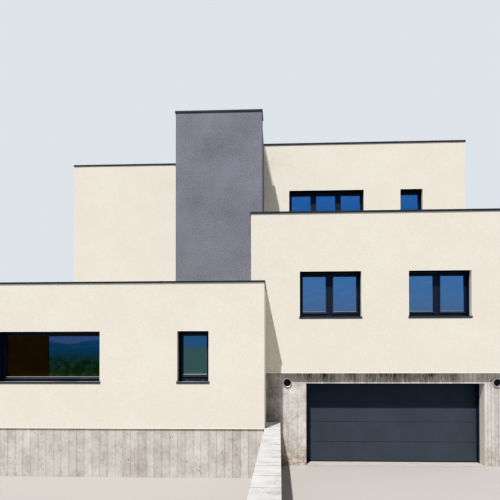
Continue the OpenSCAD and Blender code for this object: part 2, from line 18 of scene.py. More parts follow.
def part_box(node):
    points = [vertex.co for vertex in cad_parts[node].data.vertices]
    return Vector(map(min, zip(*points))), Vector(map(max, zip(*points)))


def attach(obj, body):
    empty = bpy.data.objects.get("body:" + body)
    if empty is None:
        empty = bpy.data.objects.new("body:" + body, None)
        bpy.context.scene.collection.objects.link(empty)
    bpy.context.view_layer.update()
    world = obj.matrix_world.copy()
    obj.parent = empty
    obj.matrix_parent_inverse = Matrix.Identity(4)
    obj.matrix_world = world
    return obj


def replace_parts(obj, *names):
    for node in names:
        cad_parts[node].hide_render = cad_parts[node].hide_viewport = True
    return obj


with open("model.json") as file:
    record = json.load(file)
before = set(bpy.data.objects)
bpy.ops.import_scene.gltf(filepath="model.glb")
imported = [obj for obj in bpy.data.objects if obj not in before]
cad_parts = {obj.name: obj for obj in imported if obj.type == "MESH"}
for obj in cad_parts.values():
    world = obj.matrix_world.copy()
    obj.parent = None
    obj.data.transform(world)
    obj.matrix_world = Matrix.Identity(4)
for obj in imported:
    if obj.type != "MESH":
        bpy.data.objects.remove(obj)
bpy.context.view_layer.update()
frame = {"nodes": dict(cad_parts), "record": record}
scene = bpy.context.scene
for plain_colour in list(bpy.data.materials):
    bpy.data.materials.remove(plain_colour)
print("nodes:", len(frame["nodes"]))

# %% [markdown]
# The camera stands before the house, a little left of the garage, higher than a tall eye.
# An architect's photograph keeps the walls upright: the camera looks level and the lens is
# shifted upwards instead of tilted. The lens and the place were found by matching the edges
# of the doorway, the walls and the windows, so they are written down as measured.

# %% Camera
CAMERA_PLACE = Vector((0.786, -13.2755, 2.739))
LENS_MM = 28.8
SENSOR_MM = 36.0
TURN_LEFT = 0.0330
TILT_UP = 0.0088
ROLL = 0.0009
SHIFT_RIGHT = -0.0323
SHIFT_UP = 0.2317

camera_data = bpy.data.cameras.new("camera")
camera_data.lens = LENS_MM
camera_data.sensor_width = SENSOR_MM
camera_data.shift_x = SHIFT_RIGHT
camera_data.shift_y = SHIFT_UP
camera_data.clip_end = 500.0
camera = bpy.data.objects.new("camera", camera_data)
look_level = Matrix.Rotation(math.radians(90), 4, "X")
camera.matrix_world = (Matrix.Translation(CAMERA_PLACE) @ Matrix.Rotation(TURN_LEFT, 4, "Z")
                       @ Matrix.Rotation(TILT_UP, 4, "X") @ Matrix.Rotation(ROLL, 4, "Y")
                       @ look_level)
scene.collection.objects.link(camera)
scene.camera = camera
print("camera:", [round(c, 2) for c in camera.matrix_world.translation])

# %% [markdown]
# Shader maths reads best as maths. This small class wraps the output socket of a node, so
# that a sum of two patterns is written with a plus sign, and each expression adds its Math
# nodes. Python asks for two methods per sign, one for each order of the two terms, so a
# function makes them in pairs.

# %% A class for shader maths
def both_ways(operation):
    """The methods for pattern + other and for other + pattern, for one operation."""
    return (lambda self, other: self.maths(operation, self, other),
            lambda self, other: self.maths(operation, other, self))


class Pattern:
    """One output socket of a finish, on which sums are written as plain Python."""

    def __init__(self, finish, socket):
        self.finish = finish
        self.socket = socket

    def maths(self, operation, *terms):
        return self.finish.node("ShaderNodeMath", {"operation": operation},
                                dict(enumerate(terms)))

    __add__, __radd__ = both_ways("ADD")
    __sub__, __rsub__ = both_ways("SUBTRACT")
    __mul__, __rmul__ = both_ways("MULTIPLY")
    __truediv__, __rtruediv__ = both_ways("DIVIDE")

    def floor(self):
        return self.maths("FLOOR", self)

    def smallest(self, other):
        return self.maths("MINIMUM", self, other)

    def largest(self, other):
        return self.maths("MAXIMUM", self, other)

    def root(self):
        return self.maths("SQRT", self)

    def rise(self, start, end):
        """0 before start, 1 after end, smooth between them."""
        return self.finish.node("ShaderNodeMapRange", {"interpolation_type": "SMOOTHSTEP"},
                                {"Value": self, "From Min": start, "From Max": end})


print("signs for patterns:", len([word for word in vars(Pattern) if word.startswith("__r")]))

# %% [markdown]
# A finish is one material. Every node comes from its one method `node`, short methods name
# the patterns that come back in many finishes, and what varies over the surface is sent to
# the shader with `feed`. Patterns read the surface's own coordinates in metres, so a board
# or a pebble has its real size on every piece. Colours are noted as a screen shows them and
# turned into amounts of light.

# %% A class for a finish
class Finish:
    """One material: a Principled shader, and the patterns that feed it."""

    def __init__(self, name, **constants):
        self.material = bpy.data.materials.new(name)
        self.material.use_nodes = True
        self.tree = self.material.node_tree
        self.shader = self.tree.nodes["Principled BSDF"]
        self.send(constants)
        self.place = self.node("ShaderNodeTexCoord", output="Object")

    def fill(self, socket, value):
        """Links a pattern to a socket, or sets the socket's own value."""
        if isinstance(value, Pattern):
            self.tree.links.new(value.socket, socket)
        elif socket.type == "RGBA" and len(value) == 3:
            socket.default_value = (*value, 1.0)
        else:
            socket.default_value = value

    def send(self, values):
        for words, value in values.items():
            self.fill(self.shader.inputs[words.replace("_", " ")], value)

    def node(self, kind, settings=None, inputs=None, output=0):
        """A node with its settings, then its sockets' values or links, as one output."""
        made = self.tree.nodes.new(kind)
        for word, setting in (settings or {}).items():
            if word == "stops":
                ramp = made.color_ramp.elements
                for position, colour in setting[1:-1]:
                    ramp.new(position)
                for stop, (position, colour) in zip(ramp, setting):
                    stop.position, stop.color = position, (*colour, 1.0)
            else:
                setattr(made, word, setting)
        for word, value in (inputs or {}).items():
            self.fill(made.inputs[word], value)
        return Pattern(self, made.outputs[output])

    def axis(self, letter):
        """One coordinate of the surface, in metres."""
        return self.node("ShaderNodeSeparateXYZ", inputs={0: self.place},
                         output="XYZ".index(letter))

    def mottle(self, per_metre, detail=3.0, rough=0.5, stretch=(1, 1, 1)):
        """Soft noise from 0 to 1, with about per_metre swells in a metre."""
        place = self.node("ShaderNodeMapping", inputs={"Vector": self.place, "Scale": stretch})
        return self.node("ShaderNodeTexNoise", inputs={
            "Vector": place, "Scale": per_metre, "Detail": detail, "Roughness": rough})

    def cells(self, per_metre, output="Distance"):
        """Distance to the nearest of scattered points, or each cell's own colour."""
        return self.node("ShaderNodeTexVoronoi", inputs={
            "Vector": self.place, "Scale": per_metre}, output=output)

    def blend(self, share, first, second):
        """Mixes two colours: the first where share is 0, the second where it is 1."""
        return self.node("ShaderNodeMix", {"data_type": "RGBA"},
                         {0: share, 6: first, 7: second}, output=2)

    def layers(self, colour, marks):
        """Lays marks over a colour in turn, each a share and the mark's own colour."""
        for share, mark in marks:
            colour = self.blend(share, colour, mark)
        return colour

    def rounded(self, radius):
        """The surface's direction as if every edge were rounded by a radius."""
        return self.node("ShaderNodeBevel", {"samples": 4}, {"Radius": radius})

    def edges(self, radius):
        """1 along the sharp edges of the shape, 0 a radius away from them."""
        flat = self.node("ShaderNodeNewGeometry", output="Normal")
        agree = self.node("ShaderNodeVectorMath", {"operation": "DOT_PRODUCT"},
                          {0: self.rounded(radius), 1: flat}, output="Value")
        return 1 - agree.rise(0.80, 0.995)

    def relief(self, height, depth, under=None):
        """A Bump node: height from 0 to 1 stands for depth metres."""
        inputs = {"Height": height, "Distance": depth, "Strength": 1.0}
        if under is not None:
            inputs["Normal"] = under
        return self.node("ShaderNodeBump", inputs=inputs)

    def feed(self, **patterns):
        """Sends patterns to the shader: feed(Base_Color=colour, Normal=bumps)."""
        self.send(patterns)
        print("finish:", self.material.name, "with", len(self.tree.nodes), "nodes")
        return self


def tone(red, green, blue):
    """A colour written as a screen shows it, 0 to 255, as the light values shaders need."""
    return tuple(((c / 255 + 0.055) / 1.055) ** 2.4 if c > 10 else c / 255 / 12.92
                 for c in (red, green, blue))


def lighter(colour, times):
    """The same colour some times brighter, and never quite black."""
    return tuple(c * times + 0.004 for c in colour)


print("cream on a screen is", [round(c, 3) for c in tone(238, 231, 216)], "in light")

# %% [markdown]
# The light is a clear midday: the sun stands high on the left, before the front, and the
# even world and the pale floor fill the shadows to a third of the lit walls. A sun lamp has
# one direction for the whole scene, which is what real sunlight has; its angle softens the
# edges of the shadows a little. The world is even and pale, and it is told apart by the kind
# of ray: what fills the shadows is neutral, what gloss mirrors is a little bluer, and what
# the camera sees is brighter, as a photographer's backdrop is lit apart from the subject.

# %% Light, backdrop and floor
SUN_TRAVELS = Vector((0.345, 1.0, -1.64))
SUN_STRENGTH = 4.7
SUN_SOFTNESS = math.radians(0.9)
SUN_TINT = (1.0, 0.975, 0.94)
FILL_LIGHT = (0.395, 0.40, 0.42)
GLOSS_LIGHT = (0.36, 0.385, 0.43)
BACKDROP = (0.78, 0.83, 0.88)
FLOOR_TONE = (0.42, 0.405, 0.39)
FLOOR_SIZE = 400.0

scene.view_settings.view_transform = "Khronos PBR Neutral"

sun_data = bpy.data.lights.new("sun", "SUN")
sun_data.energy = SUN_STRENGTH
sun_data.color = SUN_TINT
sun_data.angle = SUN_SOFTNESS
sun = bpy.data.objects.new("sun", sun_data)
sun.matrix_world = SUN_TRAVELS.to_track_quat("-Z", "Y").to_matrix().to_4x4()
scene.collection.objects.link(sun)

scene.world = bpy.data.worlds.new("pale_studio")
scene.world.use_nodes = True
world_nodes = scene.world.node_tree.nodes
world_links = scene.world.node_tree.links
ray_kind = world_nodes.new("ShaderNodeLightPath")
around = world_nodes["Background"]
around.inputs["Color"].default_value = (*FILL_LIGHT, 1.0)
for kind_of_ray, colour in (("Is Glossy Ray", GLOSS_LIGHT), ("Is Camera Ray", BACKDROP)):
    shown = world_nodes.new("ShaderNodeBackground")
    shown.inputs["Color"].default_value = (*colour, 1.0)
    chooser = world_nodes.new("ShaderNodeMixShader")
    world_links.new(ray_kind.outputs[kind_of_ray], chooser.inputs[0])
    world_links.new(around.outputs[0], chooser.inputs[1])
    world_links.new(shown.outputs[0], chooser.inputs[2])
    around = chooser
world_links.new(around.outputs[0], world_nodes["World Output"].inputs["Surface"])

floor_finish = Finish("studio_floor", Base_Color=FLOOR_TONE, Roughness=0.9)
floor_mesh = bpy.data.meshes.new("floor")
floor_bm = bmesh.new()
bmesh.ops.create_grid(floor_bm, x_segments=1, y_segments=1, size=FLOOR_SIZE / 2)
floor_bm.to_mesh(floor_mesh)
floor_bm.free()
floor_mesh.materials.append(floor_finish.material)
floor = bpy.data.objects.new("floor", floor_mesh)
scene.collection.objects.link(floor)
print("sun height:", round(math.degrees(math.asin(-SUN_TRAVELS.normalized().z)), 1), "degrees")

# %% [markdown]
# The walls wear a mineral render: a sandy coat a few millimetres thick over insulation,
# rubbed with a float while it is soft. Near the eye it is all grains, further away only
# faint swells are left, where the float pressed harder or rain has dried. So the pattern
# has three sizes: swells a metre wide, flecks of a few centimetres, and grains of two
# millimetres, which are relief and hardly colour.

# %% Mineral render
def mineral_render(name, light, dark, contrast, tint, tint_share, grain_depth):
    finish = Finish(name, Roughness=0.9, Specular_IOR_Level=0.25)
    swells = finish.mottle(0.75, 5, 0.62)
    flecks = finish.mottle(24, 4, 0.7)
    grains = finish.mottle(330, 2, 0.6)
    shade = swells * 0.26 + flecks * 0.48 + grains * 0.26
    floated = finish.blend((shade - 0.5) * contrast + 0.5, light, dark)
    dried = finish.mottle(2.6, 7, 0.72, stretch=(1, 1, 0.6)).rise(0.42, 0.72)
    worn = finish.edges(0.012) * finish.mottle(9, 3, 0.6)
    colour = finish.layers(floated, [(dried * tint_share, tint), (worn * 0.3, light)])
    hand = finish.relief(finish.mottle(1.6, 2), 0.004, under=finish.rounded(0.004))
    coat = finish.relief(grains * 0.6 + flecks * 0.4, grain_depth, under=hand)
    return finish.feed(Base_Color=colour, Roughness=0.84 + flecks * 0.12, Normal=coat)


cream_render = mineral_render("cream_render", tone(234, 230, 222), tone(213, 208, 196), 5.2,
                              tone(220, 213, 194), 0.2, 0.0018)
grey_render = mineral_render("grey_render", tone(140, 144, 158), tone(94, 96, 106), 3.8,
                             tone(118, 112, 108), 0.28, 0.0022)

# %% [markdown]
# Concrete keeps the marks of its years, and each mark has its place on the wall. Water that
# runs from under the wall above leaves dark stains that fade downwards. Splashing rain
# leaves dirt on the foot of the piers. Two more marks are painted light and shade: the corner
# beside the front block, which the sun never reaches, is painted dark as shade, and a
# doorway's reveal is painted paler than the boarded face, as light. Each mark is a small
# function that gives its share from 0 to 1, worked out from the surface's own coordinates.

# %% Marks on a concrete wall
PALE, LIME, REVEAL_PAINTED_LIGHT = tone(218, 215, 212), tone(222, 220, 218), tone(234, 229, 222)
GRIME_AND_SHADE, WET, HOLE_SHADE = tone(96, 90, 84), tone(40, 41, 39), tone(50, 46, 42)
DIRT, CHIPPED = tone(152, 130, 110), tone(226, 222, 216)
SPLASH_HEIGHT = 0.8
CORNER_SHADE_REACH = 0.5
lintel_low, lintel_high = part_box("garage_lintel")
lintel_height = lintel_high.z - lintel_low.z


def water_stains(finish, length):
    """Streaks in patches, from the top of the lintel down, over a length."""
    below = (lintel_high.z - finish.axis("Z")) / length
    drips = finish.mottle(7, 7, 0.78, stretch=(1, 1, 0.12)).rise(0.36, 0.62)
    patches = finish.mottle(0.9, 3).rise(0.38, 0.58)
    return drips * patches * (1 - below.rise(0.0, 1.0))


def splashed_foot(finish, blots):
    """Dirt in blots, thinning out from the foot of the wall upwards."""
    return (1 - finish.axis("Z").rise(0.0, SPLASH_HEIGHT)) * blots.rise(0.3, 0.6)


def painted_corner_shade(finish, blots, corner):
    """Painted shade: dark at x = corner, fading to the right."""
    return (1 - (finish.axis("X") - corner).rise(0.0, CORNER_SHADE_REACH)) * (0.26 + blots * 0.25)


def painted_reveal_light(finish, face):
    """Painted light: 1 on the upright face at x = face, 0 a few millimetres away."""
    away = finish.axis("X") - face
    return 1 - away.largest(0 - away).rise(0.001, 0.004)


print("stains start", round(lintel_high.z, 3), "m up and fade over", round(lintel_height, 3))

# %% [markdown]
# The base is fair-faced concrete, cast against sawn boards set on end. Each board leaves
# its own tone and a thin fin where two boards met, the wood leaves upright grain, and
# trapped air leaves small ragged holes, painted dark as the shade inside them. The board
# number is the whole part of the distance divided by the board's width, and a random tone
# hangs on that number. Left pier, right pier, lintel, plinth and low wall were cast at
# different times against different boards, so each gets its own variant of one recipe; the
# low wall's is darkened all over as painted shade.

# %% Board-marked concrete
def board_concrete(name, board, contrast=4.6, darkness=0.0, dark=tone(132, 124, 116),
                   stains=0.0, stain_length=lintel_height, dirt=0.0, reveal=None, shade_corner=None):
    """Boards of a width; reveal is the x of a face with painted light, shade_corner the x of a
    corner with painted shade.
    """
    finish = Finish(name, Roughness=0.85, Specular_IOR_Level=0.3)
    across = finish.axis("X") + finish.axis("Y")
    number = (across / board).floor()
    inside = across / board - number
    tone_of_board = finish.node("ShaderNodeTexWhiteNoise", {"noise_dimensions": "1D"},
                                {"W": number})
    fin = 1 - (inside.smallest(1 - inside) * board).rise(0.001, 0.007)
    wood = finish.mottle(34, 6, 0.7, stretch=(1, 1, 0.05))
    swells = finish.mottle(2.6, 6, 0.66)
    blots = finish.mottle(11, 5, 0.7)
    paste = finish.mottle(60, 4, 0.65)
    shade = swells * 0.34 + blots * 0.22 + wood * 0.14 + tone_of_board * 0.06 + paste * 0.24
    paste_colour = finish.blend((shade - 0.5) * contrast + 0.5 + darkness, PALE, dark)
    lime = finish.mottle(1.7, 5, 0.65, stretch=(1, 1, 0.45)).rise(0.52, 0.72)
    ragged = (paste - 0.5) * 0.2 + (finish.mottle(7, 1) - 0.5) * 0.45
    hole = 1 - (finish.cells(14) + ragged).rise(0.03, 0.10)
    chipped = finish.edges(0.012) * finish.mottle(17, 3, 0.6).rise(0.42, 0.6)
    # The holes get painted shade; the fins' dark lines are real grime.
    marks = [(lime * 0.5, LIME), (fin * 0.75, GRIME_AND_SHADE),
             (water_stains(finish, stain_length) * stains, WET), (hole * 0.85, HOLE_SHADE)]
    # Painted light: the doorway's reveal is paler.
    if reveal is not None:
        marks.append((painted_reveal_light(finish, reveal) * 0.85, REVEAL_PAINTED_LIGHT))
    marks.append((splashed_foot(finish, blots) * dirt, DIRT))
    # Painted shade: the corner beside the front block is darker.
    if shade_corner is not None:
        marks.append((painted_corner_shade(finish, blots, shade_corner), GRIME_AND_SHADE))
    colour = finish.layers(paste_colour, [*marks, (chipped * 0.6, CHIPPED)])
    high = wood * 0.3 + blots * 0.1 + tone_of_board * 0.3 + paste * 0.1 + fin * 0.25 - hole
    return finish.feed(Base_Color=colour, Roughness=0.72 + swells * 0.2,
                       Normal=finish.relief(high, 0.003, under=finish.rounded(0.008)))


concrete = board_concrete("board_concrete", 0.266, darkness=-0.06, stains=0.7, dirt=0.85,
                          reveal=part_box("garage_pier_left")[1].x,
                          shade_corner=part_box("front_wall")[1].x)
stained_concrete = board_concrete("stained_board_concrete", 0.133, contrast=5.4, darkness=-0.16,
                                  dark=tone(130, 128, 127), stains=1.0,
                                  stain_length=lintel_height * 1.7)
fine_concrete = board_concrete("fine_board_concrete", 0.10, contrast=3.4, darkness=-0.14,
                               stains=0.3, dirt=0.3, reveal=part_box("garage_pier_right")[0].x)
plinth_concrete = board_concrete("plinth_concrete", 0.20, contrast=2.8, darkness=-0.04)
# Painted shade: the low wall's concrete is darkened for its shaded side.
low_wall_painted_shade_concrete = board_concrete("low_wall_painted_shade_concrete", 0.25, darkness=0.35, stains=0.3)

# %% [markdown]
# Floors, slabs and coping stones are cast lying down, so they show no boards: a trowel or a
# press leaves soft swells and small pits, painted darker as the shade in them. Where stones
# lie in a row, dirt gathers along the joints. The distance to the nearest joint follows from
# the pitch of the stones, which is measured on the packed row.

# %% Cast concrete
STONE_COUNT, STONE_GAP = 12, 0.008
row_low, row_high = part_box("retaining_coping")
stone_pitch = (row_high.y - row_low.y + STONE_GAP) / STONE_COUNT


def cast_concrete(name, light, dark, pit_share, contrast=2.4, first_seam=None):
    """Trowelled or pressed concrete; a row of stones starts at y = first_seam."""
    finish = Finish(name, Roughness=0.85, Specular_IOR_Level=0.3)
    swells = finish.mottle(3.4, 6, 0.7)
    paste = finish.mottle(45, 4, 0.65)
    pit = 1 - finish.cells(38).rise(0.10, 0.22)
    shade = swells * 0.6 + paste * 0.4
    colour = finish.blend((shade - 0.5) * contrast + 0.5, light, dark)
    # Painted shade: the pits are darker.
    colour = finish.blend(pit * pit_share, colour, dark)
    if first_seam is not None:
        along = (finish.axis("Y") - first_seam) / stone_pitch
        inside = along - along.floor()
        to_seam = inside.smallest(1 - inside) * stone_pitch + (paste - 0.5) * 0.02
        colour = finish.blend((1 - to_seam.rise(0.003, 0.020)) * 0.75, colour, tone(98, 92, 86))
    colour = finish.blend(finish.edges(0.010) * 0.3, colour, light)
    return finish.feed(Base_Color=colour, Roughness=0.7 + swells * 0.2,
                       Normal=finish.relief(paste * 0.5 - pit * pit_share, 0.003,
                                            under=finish.rounded(0.006)))


slab_concrete = cast_concrete("slab_concrete", tone(196, 192, 186), tone(163, 159, 153), 0.2)
terrace_concrete = cast_concrete("terrace_concrete", tone(224, 221, 216), tone(168, 164, 158), 0.5)
coping_stone = cast_concrete("coping_stone", tone(233, 233, 234), tone(153, 150, 149), 0.6,
                             contrast=3.6, first_seam=row_low.y - STONE_GAP / 2)
print("coping stones every", round(stone_pitch, 3), "m")

# %% [markdown]
# Window frames, copings, sills and the garage door are aluminium and steel with a baked
# powder coat. The coat has a fine orange-peel surface and an even colour, so what the eye
# reads is gloss: the finish changes its roughness a little, and turns pale and dusty where
# the metal faces upwards, which is real grime and a painted sheen together. Edges are paler,
# as wear with a painted highlight. The blue in the dark colours is partly the coat's own and
# partly a painted reflection of a blue sky.

# %% Powder-coated metal
DUST_AND_SHEEN_TONE = tone(128, 126, 121)


def powder_coat(name, colour, edge_wear_and_highlight, gloss, dust_and_sheen_share, sheen=0.5):
    finish = Finish(name, Roughness=gloss, Specular_IOR_Level=sheen)
    peel = finish.mottle(420, 2, 0.5)
    wipes = finish.mottle(2.6, 4, 0.6, stretch=(1, 1, 0.5))
    up = finish.node("ShaderNodeSeparateXYZ", inputs={
        0: finish.node("ShaderNodeNewGeometry", output="Normal")}, output=2)
    # Upward faces: a dusty film and a painted sheen together.
    dust_and_sheen = up.rise(0.3, 0.95) * finish.mottle(1.7, 5, 0.6).rise(0.2, 0.9) * dust_and_sheen_share
    # Edges take a paler colour: wear with a painted highlight.
    dusty = finish.layers(colour, [(wipes * 0.6 - 0.05, lighter(colour, 1.5)),
                                   (finish.edges(0.004) * 0.7, edge_wear_and_highlight), (dust_and_sheen, DUST_AND_SHEEN_TONE)])
    return finish.feed(Base_Color=dusty, Roughness=gloss - 0.06 + wipes * 0.14 + dust_and_sheen * 0.4,
                       Normal=finish.relief(peel, 0.0002, under=finish.rounded(0.002)))


# The bluish tones are partly a painted reflection of a blue sky.
window_metal = powder_coat("window_metal", tone(32, 39, 51), tone(88, 97, 110), 0.34, 0.5)
coping_metal = powder_coat("coping_metal", tone(52, 59, 69), tone(96, 102, 108), 0.36, 0.35, 0.15)
sill_metal = powder_coat("sill_metal", tone(58, 64, 69), tone(104, 110, 114), 0.32, 2.0)
door_metal = powder_coat("door_metal", tone(64, 70, 79), tone(116, 120, 124), 0.38, 0.3, 0.22)

# %% [markdown]
# The two sleeves through the concrete are turned stainless steel. The tool leaves fine
# rings round the bore, so the relief follows the distance from the nearest sleeve's axis,
# worked out from the two centres.

# %% Turned steel
def turned_steel(name, centres):
    finish = Finish(name, Base_Color=(0.74, 0.75, 0.76), Metallic=1.0, Roughness=0.3)
    rings = []
    for centre in centres:
        right = finish.axis("X") - centre.x
        up = finish.axis("Z") - centre.z
        rings.append((right * right + up * up).root())
    radius = rings[0].smallest(rings[1])
    turned = finish.node("ShaderNodeTexNoise", {"noise_dimensions": "1D"},
                         {"W": radius, "Scale": 900.0, "Detail": 2.0})
    smudge = finish.mottle(14, 4, 0.6)
    return finish.feed(Roughness=0.2 + smudge * 0.2 + turned * 0.1,
                       Normal=finish.relief(turned, 0.0004))


SLEEVE_CENTRES = []
sleeves_low, sleeves_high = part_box("pipe_collars")
sleeve_radius = (sleeves_high.z - sleeves_low.z) / 2
for side in (sleeves_low.x + sleeve_radius, sleeves_high.x - sleeve_radius):
    SLEEVE_CENTRES.append(Vector((side, sleeves_low.y, sleeves_low.z + sleeve_radius)))
collar_steel = turned_steel("collar_steel", SLEEVE_CENTRES)

# %% [markdown]
# The small parts are rubber, plastic, mortar and bare metal. They are seen as a line or a
# dot, so one recipe serves them all: a colour that varies a little, and a fine relief. What
# differs is the colour, the gloss, and how coarse and how deep the relief is.

# %% Rubber, plastic, mortar and bare metal
def plain_stuff(name, colour, rough, per_metre, depth):
    """A small part's own finish: one colour that varies a little, with fine relief."""
    finish = Finish(name, Roughness=rough)
    uneven = finish.mottle(per_metre, 3, 0.6)
    worn = finish.blend(uneven, colour, lighter(colour, 1.35))
    return finish.feed(Base_Color=worn, Roughness=rough - 0.05 + uneven * 0.1,
                       Normal=finish.relief(uneven, depth))


rubber = plain_stuff("seal_rubber", tone(16, 17, 19), 0.7, 90, 0.0005)
spacer_metal = plain_stuff("spacer_metal", tone(94, 102, 110), 0.4, 60, 0.0002)
foot_metal = plain_stuff("foot_metal", tone(150, 154, 158), 0.4, 60, 0.0002)
blind_metal = plain_stuff("blind_metal", tone(24, 27, 31), 0.4, 30, 0.0003)
bead_plastic = plain_stuff("bead_plastic", tone(232, 226, 212), 0.5, 40, 0.0003)
blank_plastic = plain_stuff("blank_plastic", tone(84, 86, 90), 0.5, 50, 0.0003)
joint_mortar = plain_stuff("joint_mortar", tone(92, 88, 83), 0.9, 70, 0.002)

# %% [markdown]
# The high roofs are weighed down with washed pebbles. A cell pattern gives each pebble a
# place of its own: the distance to its middle rounds it and paints shade into the gaps, and
# the cell's own colour makes it a little paler or darker than its neighbours.

# %% Washed gravel
PEBBLES_PER_METRE = 34


def gravel_finish(name):
    """Washed pebbles of three centimetres: each cell of the pattern is one stone."""
    finish = Finish(name, Roughness=0.85)
    stone = finish.cells(PEBBLES_PER_METRE)
    stone_tint = finish.node("ShaderNodeSeparateColor",
                             inputs={0: finish.cells(PEBBLES_PER_METRE, output="Color")})
    dirt = finish.mottle(1.6, 4, 0.6)
    shade = stone_tint * 0.6 + dirt * 0.4
    washed = finish.blend((shade - 0.5) * 1.6 + 0.5, tone(214, 208, 198), tone(134, 128, 120))
    # Painted shade between the pebbles.
    colour = finish.blend(stone.rise(0.45, 0.75) * 0.6, washed, tone(84, 80, 75))
    return finish.feed(Base_Color=colour, Normal=finish.relief(1 - stone, 0.014))


round_gravel = gravel_finish("round_gravel")

# %% [markdown]
# By day a window is a mirror: the coated panes show what is bright outside and hide the
# dark room behind. A real pane mixes both, but an even studio has nothing to show, so the
# finish is a mirror with a painted reflection that runs from blue above to paler near the
# foot of the panes, with faint pale streaks. The lowest panes get a dimmer painted
# reflection: under a ragged edge it falls to a dark, dappled green, and one side of the
# picture window is painted nearly black. Glass is never quite flat, and a long, shallow
# relief bends what it shows.

# %% Window glass
DARK_PART, NARROW_PANE = 1.16, 1.2
DAPPLED_REFLECTION, DISTANT_REFLECTION, STREAK_REFLECTION = (0.035, 0.055, 0.022), (0.17, 0.25, 0.46), (0.75, 0.80, 0.88)
PAINTED_DARK_SIDE, PAINTED_DARKER_SIDE = (0.060, 0.042, 0.026), (0.034, 0.026, 0.019)
NARROW_FOOT_REFLECTION, NARROW_HEAD_REFLECTION = (0.20, 0.31, 0.28), (0.14, 0.285, 0.49)
front_glass_low, front_glass_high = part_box("front_glass")


def painted_low_reflection(finish, level, haze, colour):
    """The lowest panes' painted reflection: a dark part, a dappled part, and the narrow pane."""
    across = finish.axis("X")
    dapple = finish.mottle(5, 5, 0.68).rise(0.40, 0.62) * (1 - level.rise(0.30, 0.62))
    dappled = finish.blend(dapple, colour, DAPPLED_REFLECTION)
    wavy = level + (finish.mottle(1.1, 5, 0.62, stretch=(1, 1, 0)) - 0.5) * 0.42
    far = finish.blend(wavy.rise(0.83, 0.87), dappled, DISTANT_REFLECTION)
    dark = finish.blend(haze, PAINTED_DARK_SIDE, PAINTED_DARKER_SIDE)
    edge = front_glass_low.x + DARK_PART
    beside = finish.blend(across.rise(edge - 0.03, edge + 0.03), dark, far)
    narrow = finish.blend(level.rise(0.67, 0.74), NARROW_FOOT_REFLECTION, NARROW_HEAD_REFLECTION)
    start = front_glass_high.x - NARROW_PANE
    return finish.blend(across.rise(start, start + 0.01), beside, narrow)


def mirror_glass(node, stops, low_panes=False):
    """A mirror for the panes of one node, with a painted reflection from stops, foot to head."""
    low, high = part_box(node)
    finish = Finish(node + "_mirror", Metallic=1.0, Roughness=0.03)
    haze = finish.mottle(1.6, 4, 0.6, stretch=(1, 1, 3.0))
    level = (finish.axis("Z") - low.z) / (high.z - low.z)
    ragged = level + (haze - 0.5) * 0.25
    # The stops are a painted reflection, from the panes' foot to their head.
    painted_reflection = finish.node("ShaderNodeValToRGB", {"stops": stops}, {0: ragged})
    streaks = finish.mottle(3.0, 5, 0.6, stretch=(0.7, 0.7, 3.5)).rise(0.5, 0.8) * 0.12
    colour = finish.blend(streaks, painted_reflection, STREAK_REFLECTION)
    if low_panes:
        colour = painted_low_reflection(finish, level, haze, colour)
    wave = finish.mottle(1.4, 1)
    smear = finish.mottle(16, 4, 0.6)
    return finish.feed(Base_Color=colour, Roughness=0.02 + smear * 0.05,
                       Normal=finish.relief(wave, 0.0008))


LOW_REFLECTION_STOPS = [(0.0, (0.09, 0.11, 0.07)), (0.45, (0.07, 0.12, 0.11)), (0.6, (0.05, 0.12, 0.19)),
             (0.8, (0.06, 0.14, 0.27)), (1.0, (0.09, 0.18, 0.33))]
MID_REFLECTION_STOPS = [(0.0, (0.27, 0.43, 0.70)), (0.35, (0.25, 0.46, 0.84)),
                (1.0, (0.22, 0.47, 0.93))]
UPPER_REFLECTION_STOPS = [(0.0, (0.11, 0.31, 0.78)), (1.0, (0.15, 0.37, 0.92))]
FAR_REFLECTION_STOPS = [(0.0, (0.27, 0.40, 0.62)), (0.5, (0.24, 0.44, 0.78)), (1.0, (0.22, 0.46, 0.90))]
glass_finishes = {"front_glass": mirror_glass("front_glass", LOW_REFLECTION_STOPS, low_panes=True)}
for node, stops in (("mid_glass", MID_REFLECTION_STOPS), ("upper_glass", UPPER_REFLECTION_STOPS),
                    ("rear_glass", FAR_REFLECTION_STOPS), ("side_glass", FAR_REFLECTION_STOPS)):
    glass_finishes[node] = mirror_glass(node, stops)

# %% [markdown]
# The two sheets beside the tower are plain clear glass, which is seen through. A real sheet
# bends light by its thickness. Here a share of transparency does the same work in less
# time, and fine smears keep the gloss from being perfect.

# %% Clear glass
def clear_glass(name, tint, alpha):
    finish = Finish(name, Base_Color=tint, Roughness=0.04, Alpha=alpha)
    smear = finish.mottle(11, 4, 0.6)
    return finish.feed(Roughness=0.02 + smear * 0.06)


rail_glass = clear_glass("rail_glass", (0.17, 0.31, 0.44), 0.42)

# %% [markdown]
# Each node of the model names the slot that its finish belongs to, and each finish above
# bears its slot's name, so dressing the house is one loop. A few nodes get a variant: the
# right pier, the lintel, the plinth and the low wall have their own concrete, the sills are
# paler than the frames, and the panes of each wall mirror colours of their own.

# %% Dress the nodes
FINISHES = {finish.material.name: finish for finish in (
    cream_render, grey_render, concrete, slab_concrete, coping_stone, coping_metal,
    window_metal, door_metal, collar_steel, rail_glass)}
VARIANTS = {"garage_pier_right": fine_concrete, "garage_lintel": stained_concrete,
            "plinth_walls": plinth_concrete, "retaining_wall": low_wall_painted_shade_concrete,
            "window_sills": sill_metal, **glass_finishes}
slot_of = {part["node"]: part["material_slot"] for part in frame["record"]["subparts"]}
for name, node in frame["nodes"].items():
    finish = VARIANTS.get(name) or FINISHES[slot_of[name]]
    node.material_slots[0].material = finish.material
print("dressed", len(frame["nodes"]), "nodes")

